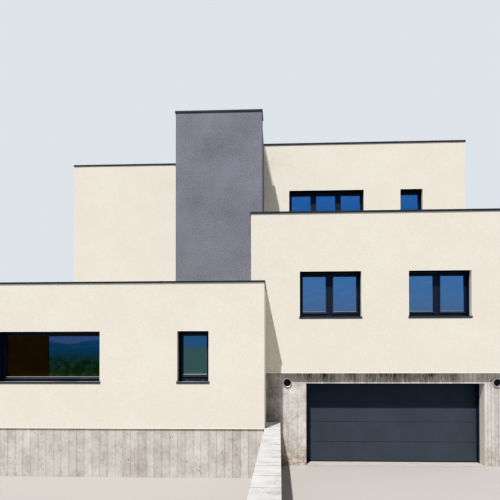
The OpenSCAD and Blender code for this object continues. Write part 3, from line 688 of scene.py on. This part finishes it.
# %% [markdown]
# The packed nodes show where every window is: the frames are the wide solids of the frame
# nodes, and the blinds' guide rails are the narrow ones. The mesh of a node is loose
# triangles, so a merged copy is split into its separate solids, and each solid's box is
# measured. A window's own axes run along the wall, into the wall and up.

# %% Find the windows
MERGE = 0.00001
RAIL_WIDTH_LIMIT = 0.1
Opening = namedtuple("Opening", "place width depth height")
UP = Vector((0, 0, 1))
# Along the wall and into it, seen from outside.
FACING = {"front": (Vector((1, 0, 0)), Vector((0, 1, 0))),
          "rear": (Vector((-1, 0, 0)), Vector((0, -1, 0))),
          "right": (Vector((0, 1, 0)), Vector((-1, 0, 0))),
          "left": (Vector((0, -1, 0)), Vector((1, 0, 0)))}


def merged_copy(node):
    """A copy of a packed node's mesh, with its loose triangles joined at their corners."""
    bm = bmesh.new()
    bm.from_mesh(frame["nodes"][node].data)
    bmesh.ops.remove_doubles(bm, verts=bm.verts, dist=MERGE)
    return bm


def box_of(points):
    return tuple(Vector(map(pick, zip(*points))) for pick in (min, max))


def solids_of(node):
    """Lowest and highest corner of each separate solid of a node."""
    bm = merged_copy(node)
    boxes, waiting = [], set(bm.verts)
    while waiting:
        group, border = [], [waiting.pop()]
        while border:
            corner = border.pop()
            group.append(corner.co.copy())
            fresh = {e.other_vert(corner) for e in corner.link_edges} & waiting
            waiting -= fresh
            border += fresh
        boxes.append(box_of(group))
    bm.free()
    return sorted(boxes, key=lambda box: tuple(round(c, 4) for c in box[0]))


def place_on(side, low, high=None):
    """A matrix at a box's lower left corner, with x along the wall, y into it and z up."""
    along, inward = FACING[side]
    heading = along + inward
    high = low if high is None else high
    place = Matrix((along, inward, UP)).transposed().to_4x4()
    place.translation = [low[i] if heading[i] >= 0 else high[i] for i in range(3)]
    return place


def opening_in(group, low, high):
    """A box in one group of walls, measured from outside."""
    side = {"rear": "rear", "side": "right" if low.x > 0 else "left"}.get(group, "front")
    place = place_on(side, low, high)
    return Opening(place, *map(abs, place.to_3x3().transposed() @ (high - low)))


windows, guide_rails, panes = [], [], []
for group in ("front", "mid", "upper", "rear", "side"):
    for low, high in solids_of(group + "_window_frames"):
        found = opening_in(group, low, high)
        (guide_rails if found.width < RAIL_WIDTH_LIMIT else windows).append(found)
    panes += [opening_in(group, low, high) for low, high in solids_of(group + "_glass")]
rail = guide_rails[0]
SLOT_HEIGHT = rail.height - windows[0].height
SASH_TO_WALL_FACE = windows[0].place.translation.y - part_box("front_wall")[0].y
print(len(windows), "windows,", len(guide_rails), "guide rails,", len(panes), "panes")
print("blind slot:", round(SLOT_HEIGHT, 3), "high, rails", round(rail.width, 3), "wide")
print("sashes lie", round(SASH_TO_WALL_FACE, 3), "behind the render's face")

# %% [markdown]
# Every new piece ends the same way: doubles are merged, the faces are turned outwards, the
# mesh becomes an object at the origin, and the object is told which body carries it and
# which finish it wears. Most pieces start as one upright profile
# that is drawn out along the wall, as the real trims are rolled or pressed from a strip.

# %% Helpers for new pieces
# A millimetre is left between loose parts, and it tells one edge of a mesh from another.
MILLIMETRE = 0.001


def make_piece(name, bm, finish, flat=True):
    bmesh.ops.remove_doubles(bm, verts=bm.verts, dist=MERGE)
    bmesh.ops.recalc_face_normals(bm, faces=bm.faces)
    mesh = bpy.data.meshes.new(name)
    bm.to_mesh(mesh)
    bm.free()
    triangles = sum(len(face.vertices) - 2 for face in mesh.polygons)
    if not flat:
        mesh.shade_smooth()
    mesh.materials.append(finish.material)
    piece = bpy.data.objects.new(name, mesh)
    scene.collection.objects.link(piece)
    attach(piece, "root")
    print(name + ":", triangles, "triangles")
    return piece


def move_corners(bm, made, step):
    """Moves the corners among what an operator made."""
    bmesh.ops.translate(bm, verts=[g for g in made if isinstance(g, bmesh.types.BMVert)],
                        vec=step)


def draw_out(bm, faces, step):
    """Extrudes faces by a step."""
    move_corners(bm, bmesh.ops.extrude_face_region(bm, geom=faces)["geom"], step)


def strip(bm, place, profile, length):
    """A closed profile of (y, z) points in a place's own axes, drawn out along its x."""
    face = bm.faces.new([bm.verts.new(place @ Vector((0, y, z))) for y, z in profile])
    draw_out(bm, [face], place.to_3x3() @ Vector((length, 0, 0)))


def ring(bm, place, width, height, band, depth):
    """A flat ring inside the edge of a rectangle, from y = 0 to y = depth."""
    lay = (place @ Matrix.Translation((width / 2, 0, height / 2))
           @ Matrix.Rotation(math.radians(90), 4, "X"))
    corners = bmesh.ops.create_grid(bm, x_segments=1, y_segments=1, size=0.5,
                                    matrix=lay @ Matrix.Diagonal((width, height, 1, 1)))
    sheet = corners["verts"][0].link_faces[0]
    rim = bmesh.ops.inset_region(bm, faces=[sheet], thickness=band, use_boundary=True,
                                 use_even_offset=True)["faces"]
    bmesh.ops.delete(bm, geom=[sheet], context="FACES_ONLY")
    draw_out(bm, rim, place.to_3x3() @ Vector((0, depth, 0)))


def shifted(place, x=0.0, y=0.0, z=0.0):
    return place @ Matrix.Translation((x, y, z))


def flat_copy(node):
    """A merged copy of a packed node, with its triangles joined into flat faces."""
    bm = merged_copy(node)
    bmesh.ops.dissolve_limit(bm, angle_limit=math.radians(1), verts=bm.verts, edges=bm.edges)
    bmesh.ops.recalc_face_normals(bm, faces=bm.faces)
    return bm


def pour(source, target, place=Matrix()):
    """Moves all of one bmesh into another, set down at a place."""
    source.transform(place)
    scratch = bpy.data.meshes.new("scratch")
    source.to_mesh(scratch)
    source.free()
    target.from_mesh(scratch)
    bpy.data.meshes.remove(scratch)


print("the front block seen from the right starts at",
      [round(c, 3) for c in place_on("right", *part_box("front_wall")).translation])

# %% [markdown]
# Round every pane runs a black rubber gasket, and inside the unit a grey spacer bar keeps
# the two sheets apart. Where a sash meets its fixed frame there is a second, narrower seal.
# All three are rings of different width, so one helper makes them: a face is inset, its
# middle is taken out, and what is left is drawn out to its thickness. Along the foot of the
# pane lies a bare metal strip that leads the water off: it is the pale line in the picture.

# %% Gaskets, spacer bars, foot strips and sash seals
GLASS_IN_GROOVE, BEFORE_GLASS = 0.012, 0.0002
GASKET_BAND, GASKET_PROUD = 0.006, 0.005
SPACER_BAND, SPACER_PROUD = 0.006, 0.0015
FOOT_HIGH, FOOT_PROUD = 0.011, 0.012
SEAL_BAND, SEAL_PROUD = 0.005, 0.003
SASH_BEYOND_PANE, SASH_PROUD = 0.038, 0.012
SASH_FACE_TO_PANE = panes[0].place.translation.y - windows[0].place.translation.y
FOOT_PROFILE = [(0, 0), (0, FOOT_HIGH), (-FOOT_PROUD * 0.4, FOOT_HIGH - MILLIMETRE),
                (-FOOT_PROUD, FOOT_HIGH * 0.3), (-FOOT_PROUD, 0)]

gaskets, spacers, seals, feet = (bmesh.new() for _ in range(4))
for pane in panes:
    clear = shifted(pane.place, GLASS_IN_GROOVE, -BEFORE_GLASS, GLASS_IN_GROOVE)
    across, upright = pane.width - 2 * GLASS_IN_GROOVE, pane.height - 2 * GLASS_IN_GROOVE
    ring(gaskets, clear, across, upright, GASKET_BAND, -GASKET_PROUD)
    ring(spacers, shifted(clear, GASKET_BAND, 0, GASKET_BAND), across - 2 * GASKET_BAND,
         upright - 2 * GASKET_BAND, SPACER_BAND, -SPACER_PROUD)
    strip(feet, clear, FOOT_PROFILE, across)
    reach = SASH_BEYOND_PANE + SEAL_BAND
    ring(seals, shifted(pane.place, -reach, SASH_PROUD - SASH_FACE_TO_PANE, -reach),
         pane.width + 2 * reach, pane.height + 2 * reach, SEAL_BAND, -SEAL_PROUD)
make_piece("glazing_gaskets", gaskets, rubber)
make_piece("spacer_bars", spacers, spacer_metal)
make_piece("sash_seals", seals, rubber)
make_piece("foot_strips", feet, foot_metal)

# %% [markdown]
# At the foot of every sash a weather bar throws the rain clear of the joint below. It is a
# short drip with a sloping top, and its top catches the sun: it is the second, fainter line
# across the foot of each window.

# %% Weather bars
BAR_OUT, BAR_RISE, BAR_LIP, BAR_NOSE = 0.014, 0.015, 0.004, 0.003
BAR_SHORT, BAR_RAISED = 0.004, 0.002
BAR_PROFILE = [(0, BAR_RISE), (0, 0), (-BAR_OUT * 0.6, 0), (-BAR_OUT, -BAR_LIP),
               (-BAR_OUT, BAR_NOSE)]
weather_bars = bmesh.new()
for pane in panes:
    foot = shifted(pane.place, BAR_SHORT - SASH_BEYOND_PANE, -SASH_FACE_TO_PANE,
                   BAR_RAISED - SASH_BEYOND_PANE)
    strip(weather_bars, foot, BAR_PROFILE, pane.width + 2 * (SASH_BEYOND_PANE - BAR_SHORT))
make_piece("weather_bars", weather_bars, window_metal)

# %% [markdown]
# Each opening has an outside blind, drawn up into the slot over the window, so nothing but
# the bottom bar and the dark box round it shows from below. A slat is a shallow arc of thin
# metal: one point is spun to an arc, the arc is drawn out to the slat's length, and the
# sheet is thickened. The slats then lie on each other in a stack.

# %% One blind's slats
SLAT_DEEP, SLAT_THICK, SLAT_ARC = 0.080, 0.0008, math.radians(44)
SLAT_COUNT, SLAT_PITCH = 13, 0.007


def slat_stack(length):
    """A stack of curved slats on each other, the lowest at z = 0."""
    stack = bmesh.new()
    radius = SLAT_DEEP / 2 / math.sin(SLAT_ARC / 2)
    edge_of_slat = stack.verts.new((0, -SLAT_DEEP / 2, 0))
    bmesh.ops.spin(stack, geom=[edge_of_slat], cent=(0, 0, -radius * math.cos(SLAT_ARC / 2)),
                   axis=(-1, 0, 0), angle=SLAT_ARC, steps=5)
    drawn = bmesh.ops.extrude_edge_only(stack, edges=stack.edges[:])["geom"]
    move_corners(stack, drawn, (length, 0, 0))
    bmesh.ops.solidify(stack, geom=stack.faces[:], thickness=SLAT_THICK)
    slat = stack.verts[:] + stack.edges[:] + stack.faces[:]
    for step in range(1, SLAT_COUNT):
        copied = bmesh.ops.duplicate(stack, geom=slat)["geom"]
        move_corners(stack, copied, (0, 0, step * SLAT_PITCH))
    return stack


print("a stack of slats is", round(SLAT_COUNT * SLAT_PITCH, 3), "m high")

# %% [markdown]
# The blind's bottom bar hangs below the slats, its head rail lies above them, and a folded
# box lines the slot: three sides of thin sheet, open below. Their places follow from the
# slot that was measured on the packed model.

# %% Blinds in their slots
SLOT_WALL = 0.025
SLAT_CLEAR = 0.004
STACK_BACK = 0.045
STACK_UP, BOTTOM_BAR_UP, HEAD_RAIL_DOWN = 0.05, 0.012, 0.032
BAR_HALF, BAR_HIGH, HEAD_RAIL_HIGH = 0.035, 0.016, 0.028
BAR_FOLD, BAR_SLOPE = 0.003, 0.006
SHEET = 0.0015
BOTTOM_BAR_PROFILE = [(-BAR_HALF, BAR_FOLD), (BAR_SLOPE - BAR_HALF, 0),
                      (BAR_HALF - BAR_SLOPE, 0), (BAR_HALF, BAR_FOLD), (BAR_HALF, BAR_HIGH),
                      (-BAR_HALF, BAR_HIGH)]
HEAD_RAIL_PROFILE = [(-BAR_HALF, 0), (BAR_HALF, 0), (BAR_HALF, HEAD_RAIL_HIGH),
                     (-BAR_HALF, HEAD_RAIL_HIGH)]
front, back = SLOT_WALL - SASH_TO_WALL_FACE + MILLIMETRE, SASH_PROUD - MILLIMETRE
foot, top = 2 * MILLIMETRE, SLOT_HEIGHT - MILLIMETRE
BOX_PROFILE = [(front, foot), (front + SHEET, foot), (front + SHEET, top - SHEET),
               (back - SHEET, top - SHEET), (back - SHEET, foot), (back, foot), (back, top),
               (front, top)]

slats, bars, boxes = (bmesh.new() for _ in range(3))
for window in windows:
    inside = rail.width + SLAT_CLEAR
    length = window.width - 2 * inside
    head = shifted(window.place, inside, STACK_BACK - SASH_TO_WALL_FACE / 2, window.height)
    pour(slat_stack(length), slats, shifted(head, z=STACK_UP))
    strip(bars, shifted(head, z=BOTTOM_BAR_UP), BOTTOM_BAR_PROFILE, length)
    strip(bars, shifted(head, z=SLOT_HEIGHT - HEAD_RAIL_DOWN), HEAD_RAIL_PROFILE, length)
    strip(boxes, shifted(window.place, rail.width + MILLIMETRE, 0, window.height), BOX_PROFILE,
          window.width - 2 * (rail.width + MILLIMETRE))
for name, bm in (("blind_slats", slats), ("blind_bars", bars), ("blind_boxes", boxes)):
    make_piece(name, bm, blind_metal)

# %% [markdown]
# Small caps cover the drain slots in the bottom member of each fixed frame. Rain that gets
# past the outer seal leaves here. Each is a hood with a sloping back, open below.

# %% Drain caps
CAP_LONG, CAP_HIGH, CAP_PROUD = 0.045, 0.012, 0.006
CAP_EVERY, CAP_UP = 0.7, 0.045
CAP_PROFILE = [(0, 0), (-CAP_PROUD, 0), (-CAP_PROUD, CAP_HIGH * 0.5),
               (-CAP_PROUD * 0.3, CAP_HIGH), (0, CAP_HIGH)]
drain_caps = bmesh.new()
for window in windows:
    count = max(2, round(window.width / CAP_EVERY))
    for step in range(count):
        across = window.width * (step + 0.5) / count - CAP_LONG / 2
        strip(drain_caps, shifted(window.place, across, SASH_PROUD, CAP_UP), CAP_PROFILE,
              CAP_LONG)
make_piece("drain_caps", drain_caps, blind_metal)

# %% [markdown]
# The copings are folded from sheet. Measured on the picture, their drips are less deep than
# the packed ones and hang a little closer before the wall, which changes how wide the dark
# line along each roof reads. So each packed coping is copied, its outer faces are drawn
# towards the wall, its lower edges are raised, and the folds are rounded with a bevel.
# The folded copy then stands for the packed node. A face at the end of a run stays where it
# meets the next wall: it is told apart by its U shape, which fills little of its own box.

# %% Folded copings
DRIP_OUT, FOLD_RADIUS, FOLD_ANGLE = 0.022, 0.003, math.radians(60)
FILLED_SHARE = 0.8
DRIP_RAISED = {"front_coping": 0.032, "mid_coping": 0.020, "upper_coping": 0.018,
               "left_upper_coping": 0.018, "tower_coping": 0.020}
set_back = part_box("mid_front_wall")[0].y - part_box("mid_coping")[0].y - DRIP_OUT


def is_run_end(face):
    low, high = box_of([v.co for v in face.verts])
    spans = high - low
    return face.calc_area() < FILLED_SHARE * max(spans.x, spans.y) * spans.z


def folded_coping(node):
    """The packed coping's copy, with its outer faces drawn in and its lower edges raised."""
    cap = flat_copy(node)
    foot, top = (corner.z for corner in box_of([v.co for v in cap.verts]))
    moves = {v: {} for v in cap.verts}
    for face in cap.faces:
        low, high = box_of([v.co for v in face.verts])
        if high.z > top - MILLIMETRE and low.z < foot + MILLIMETRE and not is_run_end(face):
            for corner in face.verts:
                moves[corner][tuple(round(n) for n in face.normal)] = face.normal.copy()
    for corner, normals in moves.items():
        for normal in normals.values():
            corner.co -= normal * set_back
        if corner.co.z < foot + MILLIMETRE:
            corner.co.z += DRIP_RAISED[node]
    folds = [e for e in cap.edges if len(e.link_faces) == 2
             and min(v.co.z for v in e.verts) > top - MILLIMETRE
             and e.calc_face_angle() > FOLD_ANGLE]
    bmesh.ops.bevel(cap, geom=folds, offset=FOLD_RADIUS, affect="EDGES", segments=2,
                    profile=0.5, material=-1)
    return cap


for node in DRIP_RAISED:
    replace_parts(make_piece(node + "_folded", folded_coping(node), coping_metal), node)

# %% [markdown]
# Long copings come in lengths of three metres or less. Where two lengths meet, a strap of
# the same metal wraps the joint: down the front, over the top and down the back. A strap is
# a thin U, drawn out to a hand's breadth.

# %% Straps over the coping joints
LENGTH_LIMIT = 3.0
STRAP_WIDE, STRAP_THICK = 0.09, 0.0015
side_low, side_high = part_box("left_side_wall")
cap_deep = side_high.x - side_low.x + 2 * DRIP_OUT
coping_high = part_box("mid_coping")[1].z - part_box("mid_coping")[0].z


def straps(bm, node, side, low, high):
    """Equally spaced U straps along one side of a packed coping's box."""
    place = shifted(place_on(side, low, high), y=set_back, z=DRIP_RAISED[node])
    length = abs(FACING[side][0].dot(high - low))
    count = math.ceil(length / LENGTH_LIMIT)
    thick, tall = STRAP_THICK, coping_high - DRIP_RAISED[node]
    for step in range(1, count):
        strip(bm, shifted(place, length * step / count - STRAP_WIDE / 2),
              [(0, 0), (-thick, 0), (-thick, tall + thick), (cap_deep + thick, tall + thick),
               (cap_deep + thick, 0), (cap_deep, 0), (cap_deep, tall), (0, tall)], STRAP_WIDE)


coping_straps = bmesh.new()
for node, sides, stops_at in (
        ("front_coping", ("front", "left"), "left_upper_coping"),
        ("mid_coping", ("front", "right"), "upper_coping"),
        ("upper_coping", ("front", "rear", "right"), None),
        ("left_upper_coping", ("front", "rear", "left"), None)):
    low, high = (corner.copy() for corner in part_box(node))
    if stops_at:
        high.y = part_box(stops_at)[0].y
    for side in sides:
        straps(coping_straps, node, side, low, high)
make_piece("coping_straps", coping_straps, coping_metal)

# %% [markdown]
# The sills are folded sheet too. On the picture their front edges stand out no further than
# a finger's breadth, and they lie a little higher than the packed ones, over a bed of
# render. Each is built anew at its window: a falling top, a thin drip before the wall, and
# a turned-up cap at either end that keeps the rain off the render. The piece stands for the
# packed sills, and the bed closes the strip below it.

# %% Folded sills
OPENING_BELOW_FRAME, SILL_HIGHER = 0.050, 0.028
SILL_FALL, SILL_LAP, SILL_OUT, SILL_THICK = 0.011, 0.022, 0.012, 0.003
DRIP_DEEP, DRIP_FALL, SILL_FREE = 0.053, 0.0005, 0.0003
CAP_WIDE, CAP_RISE, CAP_CORNER = 0.010, 0.018, 0.005
wall_face = -SASH_TO_WALL_FACE
drip_face = wall_face - SILL_OUT
sill_back = SASH_PROUD - SILL_FREE
top_front, drip_foot = -SILL_FALL, -SILL_FALL - DRIP_DEEP
under_front = top_front - SILL_THICK
TOP_PROFILE = [(sill_back, 0), (wall_face, top_front), (wall_face, under_front),
               (sill_back, -SILL_THICK)]
DRIP_PROFILE = [(wall_face, top_front), (drip_face, top_front - DRIP_FALL),
                (drip_face, drip_foot), (drip_face + SILL_THICK, drip_foot),
                (drip_face + SILL_THICK, under_front), (wall_face, under_front)]
END_PROFILE = [(wall_face, top_front), (drip_face, top_front),
               (drip_face, CAP_RISE - CAP_CORNER), (drip_face + CAP_CORNER, CAP_RISE),
               (wall_face, CAP_RISE)]
sills, beds = bmesh.new(), bmesh.new()
for window in windows:
    level = shifted(window.place, z=SILL_HIGHER)
    strip(sills, level, TOP_PROFILE, window.width)
    strip(beds, window.place,
          [(window.depth, -OPENING_BELOW_FRAME), (window.depth, 0), (SASH_PROUD, 0),
           (sill_back, SILL_HIGHER - SILL_THICK), (wall_face, SILL_HIGHER + under_front),
           (wall_face, -OPENING_BELOW_FRAME)], window.width)
    end_to_end, whole = shifted(level, -SILL_LAP), window.width + 2 * SILL_LAP
    strip(sills, end_to_end, DRIP_PROFILE, whole)
    for across in (0, whole - CAP_WIDE):
        strip(sills, shifted(end_to_end, across), END_PROFILE, CAP_WIDE)
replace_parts(make_piece("folded_sills", sills, sill_metal), "window_sills")
make_piece("sill_beds", beds, cream_render)

# %% [markdown]
# Render never ends in mid-air: a plastic profile is set at the bottom of the coat first.
# Its nose lets the rain drip clear of the concrete, and it is the pale line along the lower
# edge of each rendered block. The nose is a small bent profile, run round the block.

# %% Drip profiles under the render
NOSE = [(0.010, 0.0), (0.010, -0.002), (-0.001, -0.002), (-0.004, -0.009), (-0.007, -0.009),
        (-0.005, 0.012), (-0.002, 0.014), (-0.002, 0.0)]
drips = bmesh.new()
mid_low, mid_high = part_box("mid_front_wall")
block_low, block_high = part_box("front_wall")
rear_corner = Vector((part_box("spine_wall")[0].x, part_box("rear_wall")[1].y, side_low.z))
for side, low, high, length in (
        ("front", mid_low, mid_high, mid_high.x - mid_low.x),
        ("front", block_low, block_high, block_high.x - block_low.x),
        ("right", block_low, block_high, mid_low.y - block_low.y),
        ("left", side_low, side_high, side_high.y - side_low.y),
        ("rear", rear_corner, rear_corner, rear_corner.x - side_low.x)):
    strip(drips, place_on(side, low, high), NOSE, length)
make_piece("drip_profiles", drips, bead_plastic)

# %% [markdown]
# The garage door closes on rubber: a lip along the bottom that meets the floor, and a
# strip down each side, which hides the gap to the frame. A thin lip also stands in the
# bevelled joint between two sections, and it is why the joint reads as a dark line.

# %% Door seals
SIDE_SEAL_WIDE, SIDE_SEAL_BEFORE, SIDE_SEAL_UP, SIDE_SEAL_SHORT = 0.014, 0.016, 0.035, 0.05
LIP_HALF, LIP_BACK, LIP_DEEP = 0.0035, 0.0012, 0.004
BOTTOM_LIP = [(0, 0.001), (-0.014, 0.001), (-0.018, 0.010), (-0.010, 0.026), (0, 0.034)]
SIDE_SEAL = [(0, 0), (0.015, 0), (0.015, -0.014), (0.006, -0.014)]
JOINT_LIP = [(LIP_BACK, -LIP_HALF), (LIP_DEEP, -LIP_HALF * 0.4),
             (LIP_DEEP, LIP_HALF * 0.4), (LIP_BACK, LIP_HALF)]
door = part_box("garage_door")[0]
doorway_left, doorway_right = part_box("garage_pier_left")[1].x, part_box("garage_pier_right")[0].x
lip_start = doorway_left + 2 * MILLIMETRE
lip_length = doorway_right - doorway_left - 4 * MILLIMETRE
door_seals = bmesh.new()
strip(door_seals, place_on("front", Vector((lip_start, door.y, door.z))), BOTTOM_LIP, lip_length)
for start in (doorway_left, doorway_right - SIDE_SEAL_WIDE):
    foot = Vector((start, door.y - SIDE_SEAL_BEFORE, door.z + SIDE_SEAL_UP))
    upright = place_on("front", foot) @ Matrix.Rotation(math.radians(-90), 4, "Y")
    strip(door_seals, upright, SIDE_SEAL, lintel_low.z - door.z - SIDE_SEAL_SHORT)
sections = sorted(solids_of("garage_door"), key=lambda section: section[0].z)
for low, high in sections[1:]:
    joint = Vector((lip_start, low.y, low.z - LIP_HALF / 2))
    strip(door_seals, place_on("front", joint), JOINT_LIP, lip_length)
make_piece("door_seals", door_seals, rubber)

# %% [markdown]
# The coping stones of the low wall lie in mortar, and the joints between them are filled a
# little below the surface, with the hollow that a jointing iron leaves. The hollow is made
# by insetting the top of each filling and pressing it down.

# %% Mortar between the coping stones
JOINT_BELOW, JOINT_HOLLOW, JOINT_FREE = 0.010, 0.003, 0.0002
stones = solids_of("retaining_coping")
mortar = bmesh.new()
for (low, high), following in zip(stones, stones[1:]):
    gap = following[0].y - high.y
    middle = Vector(((low.x + high.x) / 2, high.y + gap / 2,
                     (low.z + high.z) / 2 - JOINT_BELOW / 2))
    size = (high.x - low.x - 2 * JOINT_BELOW, gap - 2 * JOINT_FREE,
            high.z - low.z - JOINT_BELOW, 1)
    made = bmesh.ops.create_cube(mortar, size=1.0, matrix=Matrix.Translation(middle)
                                 @ Matrix.Diagonal(size))["verts"]
    top = max({f for v in made for f in v.link_faces}, key=lambda f: f.calc_center_median().z)
    bmesh.ops.inset_region(mortar, faces=[top], thickness=gap / 4, use_even_offset=True)
    bmesh.ops.translate(mortar, verts=top.verts, vec=(0, 0, -JOINT_HOLLOW))
make_piece("stone_joints", mortar, joint_mortar)

# %% [markdown]
# Each sleeve ends in a rolled bead, the thin bright ring in the picture. Inside sits a dark
# plastic cup, whose wall lines the bore and whose ribbed floor, with a flat knob, closes it
# a hand deep. Both are turned shapes: a profile of a few points is spun once round the
# sleeve's axis.

# %% Sleeve beads and blanks
SPIN_STEPS = 64
BORE_RADIUS = 0.103
CUP_DEEP, CUP_WALL = 0.12, 0.003
BEAD_HALF, BEAD_PROUD, BEAD_BACK = 0.006, 0.005, 0.004
bead_centre = sleeve_radius - BEAD_HALF - MILLIMETRE
bead_arc = [(bead_centre + BEAD_HALF * math.cos(a), -BEAD_PROUD * math.sin(a))
            for a in (math.radians(d) for d in range(180, -1, -20))]
BEAD_PROFILE = [(bead_centre - BEAD_HALF, BEAD_BACK), *bead_arc,
                (bead_centre + BEAD_HALF, BEAD_BACK), (bead_centre - BEAD_HALF, BEAD_BACK)]
# Radius and depth, from the knob's middle over the ribs, up the wall, over the rim and back.
CUP_PROFILE = [
    (0.0, CUP_DEEP - 0.014), (0.018, CUP_DEEP - 0.014), (0.022, CUP_DEEP - 0.010),
    (0.024, CUP_DEEP), (0.058, CUP_DEEP + 0.004), (0.062, CUP_DEEP - 0.004),
    (0.072, CUP_DEEP - 0.004), (0.076, CUP_DEEP + 0.006),
    (BORE_RADIUS - CUP_WALL, CUP_DEEP + 0.008), (BORE_RADIUS - CUP_WALL, 0.0),
    (BORE_RADIUS - 0.001, -0.001), (BORE_RADIUS + 0.002, -0.001), (BORE_RADIUS - 0.0005, 0.002),
    (BORE_RADIUS - 0.0005, CUP_DEEP + 0.02), (0.0, CUP_DEEP + 0.02)]


def spun(bm, profile, centre):
    """Spins (radius, depth) points round a sleeve's axis, which runs into the wall."""
    points = [bm.verts.new(centre + Vector((radius, depth, 0))) for radius, depth in profile]
    edges = [bm.edges.new(pair) for pair in zip(points, points[1:])]
    bmesh.ops.spin(bm, geom=points + edges, cent=centre, axis=(0, 1, 0),
                   angle=math.radians(360), steps=SPIN_STEPS, use_merge=True)


beads, blanks = bmesh.new(), bmesh.new()
for centre in SLEEVE_CENTRES:
    spun(beads, BEAD_PROFILE, centre)
    spun(blanks, CUP_PROFILE, centre)
make_piece("sleeve_beads", beads, collar_steel, flat=False)
make_piece("sleeve_blanks", blanks, blank_plastic, flat=False)

# %% [markdown]
# The two glass sheets beside the tower stand in a metal channel. A rubber wedge on either
# side holds each sheet and keeps the rain out of the channel: two thin strips along its top.

# %% Wedges in the balustrade channel
WEDGE_HIGH, WEDGE_WIDE, WEDGE_LEAN = 0.007, 0.006, 0.002
WEDGE_PROFILE = [(0, 0), (0, WEDGE_HIGH), (-WEDGE_LEAN, WEDGE_HIGH), (-WEDGE_WIDE, 0)]
wedges = bmesh.new()
for low, high in solids_of("balustrade_glass"):
    low.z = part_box("balustrade_channel")[1].z
    for side in ("right", "left"):
        strip(wedges, place_on(side, low, high), WEDGE_PROFILE, high.y - low.y)
make_piece("channel_wedges", wedges, rubber)

# %% [markdown]
# The roofs are seen from above. The high ones carry gravel over their sheeting, laid a
# little short of the walls. A gravel bed is the top of the packed roof, copied, shrunk and
# drawn up, then cut finely and ruffled, so that it lies in low heaps as raked gravel does.

# %% Gravel beds
BED_SETBACK, BED_HIGH, BED_CELL = 0.03, 0.045, 0.16
BED_RUFFLE, BED_LIFT = 0.009, 0.0005
HEAPS_PER_METRE, BUMPS_PER_METRE = 3.1, 11.0


def gravel_bed(bm, node):
    """A ruffled bed over the top of a node, short of its edges."""
    roof = flat_copy(node)
    crown = max(v.co.z for v in roof.verts)
    rest = [f for f in roof.faces if min(v.co.z for v in f.verts) < crown - MILLIMETRE]
    bmesh.ops.delete(roof, geom=rest, context="FACES")
    rims = bmesh.ops.inset_region(roof, faces=list(roof.faces), thickness=BED_SETBACK,
                                  use_boundary=True, use_even_offset=True)["faces"]
    bmesh.ops.delete(roof, geom=rims, context="FACES")
    bmesh.ops.triangulate(roof, faces=roof.faces)
    low, high = box_of([v.co for v in roof.verts])
    for axis, normal in ((0, (1, 0, 0)), (1, (0, 1, 0))):
        for step in range(1, math.ceil((high[axis] - low[axis]) / BED_CELL)):
            point = low.copy()
            point[axis] += step * BED_CELL
            bmesh.ops.bisect_plane(roof, geom=roof.verts[:] + roof.edges[:] + roof.faces[:],
                                   plane_co=point, plane_no=normal)
    draw_out(roof, list(roof.faces), Vector((0, 0, BED_HIGH)))
    for corner in roof.verts:
        if corner.co.z > crown + BED_HIGH / 2:
            corner.co.z += BED_RUFFLE * noise.noise(corner.co * HEAPS_PER_METRE)
            corner.co.z += BED_RUFFLE * 0.5 * noise.noise(corner.co * BUMPS_PER_METRE)
        else:
            corner.co.z += BED_LIFT
    pour(roof, bm)


gravel = bmesh.new()
for node in ("main_roof", "tower_roof"):
    gravel_bed(gravel, node)
make_piece("gravel_beds", gravel, round_gravel)

# %% [markdown]
# The terraces carry concrete slabs on pads, with open joints that let the rain through. A
# real terrace is laid out so that whole slabs fill it, so the slabs start as one grid of
# about half a metre: each square is inset by half a joint and drawn up by itself. Squares
# that would lie under the tower are left out.

# %% Terrace slabs
SLAB, SLAB_JOINT, SLAB_HIGH = 0.5, 0.005, 0.04
TERRACE_SETBACK = 0.03
ROUND_TOWER = Vector((0.3, 0.3, 0))


def lay_slabs(bm, low, high, keep_out=None):
    """Square slabs from low to high, at low's height, each drawn up by itself."""
    low = low + Vector((TERRACE_SETBACK, TERRACE_SETBACK, MILLIMETRE))
    high = high - Vector((TERRACE_SETBACK, TERRACE_SETBACK, 0))
    size = high - low
    centre = Vector(((low.x + high.x) / 2, (low.y + high.y) / 2, low.z))
    lay = Matrix.Translation(centre) @ Matrix.Diagonal((size.x, size.y, 1, 1))
    made = bmesh.ops.create_grid(bm, x_segments=round(size.x / SLAB),
                                 y_segments=round(size.y / SLAB), size=0.5,
                                 matrix=lay)["verts"]
    squares = list(dict.fromkeys(f for v in made for f in v.link_faces))
    if keep_out:
        covered = [f for f in squares
                   if all(keep_out[0][i] < f.calc_center_median()[i] < keep_out[1][i]
                          for i in (0, 1))]
        bmesh.ops.delete(bm, geom=covered, context="FACES")
        squares = [f for f in squares if f.is_valid]
    rims = bmesh.ops.inset_individual(bm, faces=squares, thickness=SLAB_JOINT / 2,
                                      use_even_offset=True)["faces"]
    bmesh.ops.delete(bm, geom=rims, context="FACES")
    draw_out(bm, squares, Vector((0, 0, SLAB_HIGH)))


tower_low, tower_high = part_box("tower_walls")
deck_low, deck_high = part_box("left_deck")
upper_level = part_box("upper_floor")[1].z
terraces = bmesh.new()
lay_slabs(terraces, Vector((tower_high.x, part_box("mid_floor")[0].y, upper_level)),
          Vector((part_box("right_side_wall")[0].x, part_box("upper_front_wall")[0].y, upper_level)))
lay_slabs(terraces, Vector((deck_low.x, deck_low.y, deck_high.z)),
          Vector((deck_high.x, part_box("left_upper_wall")[0].y, deck_high.z)),
          (tower_low - ROUND_TOWER, tower_high + ROUND_TOWER))
make_piece("terrace_slabs", terraces, terrace_concrete)

# %% [markdown]
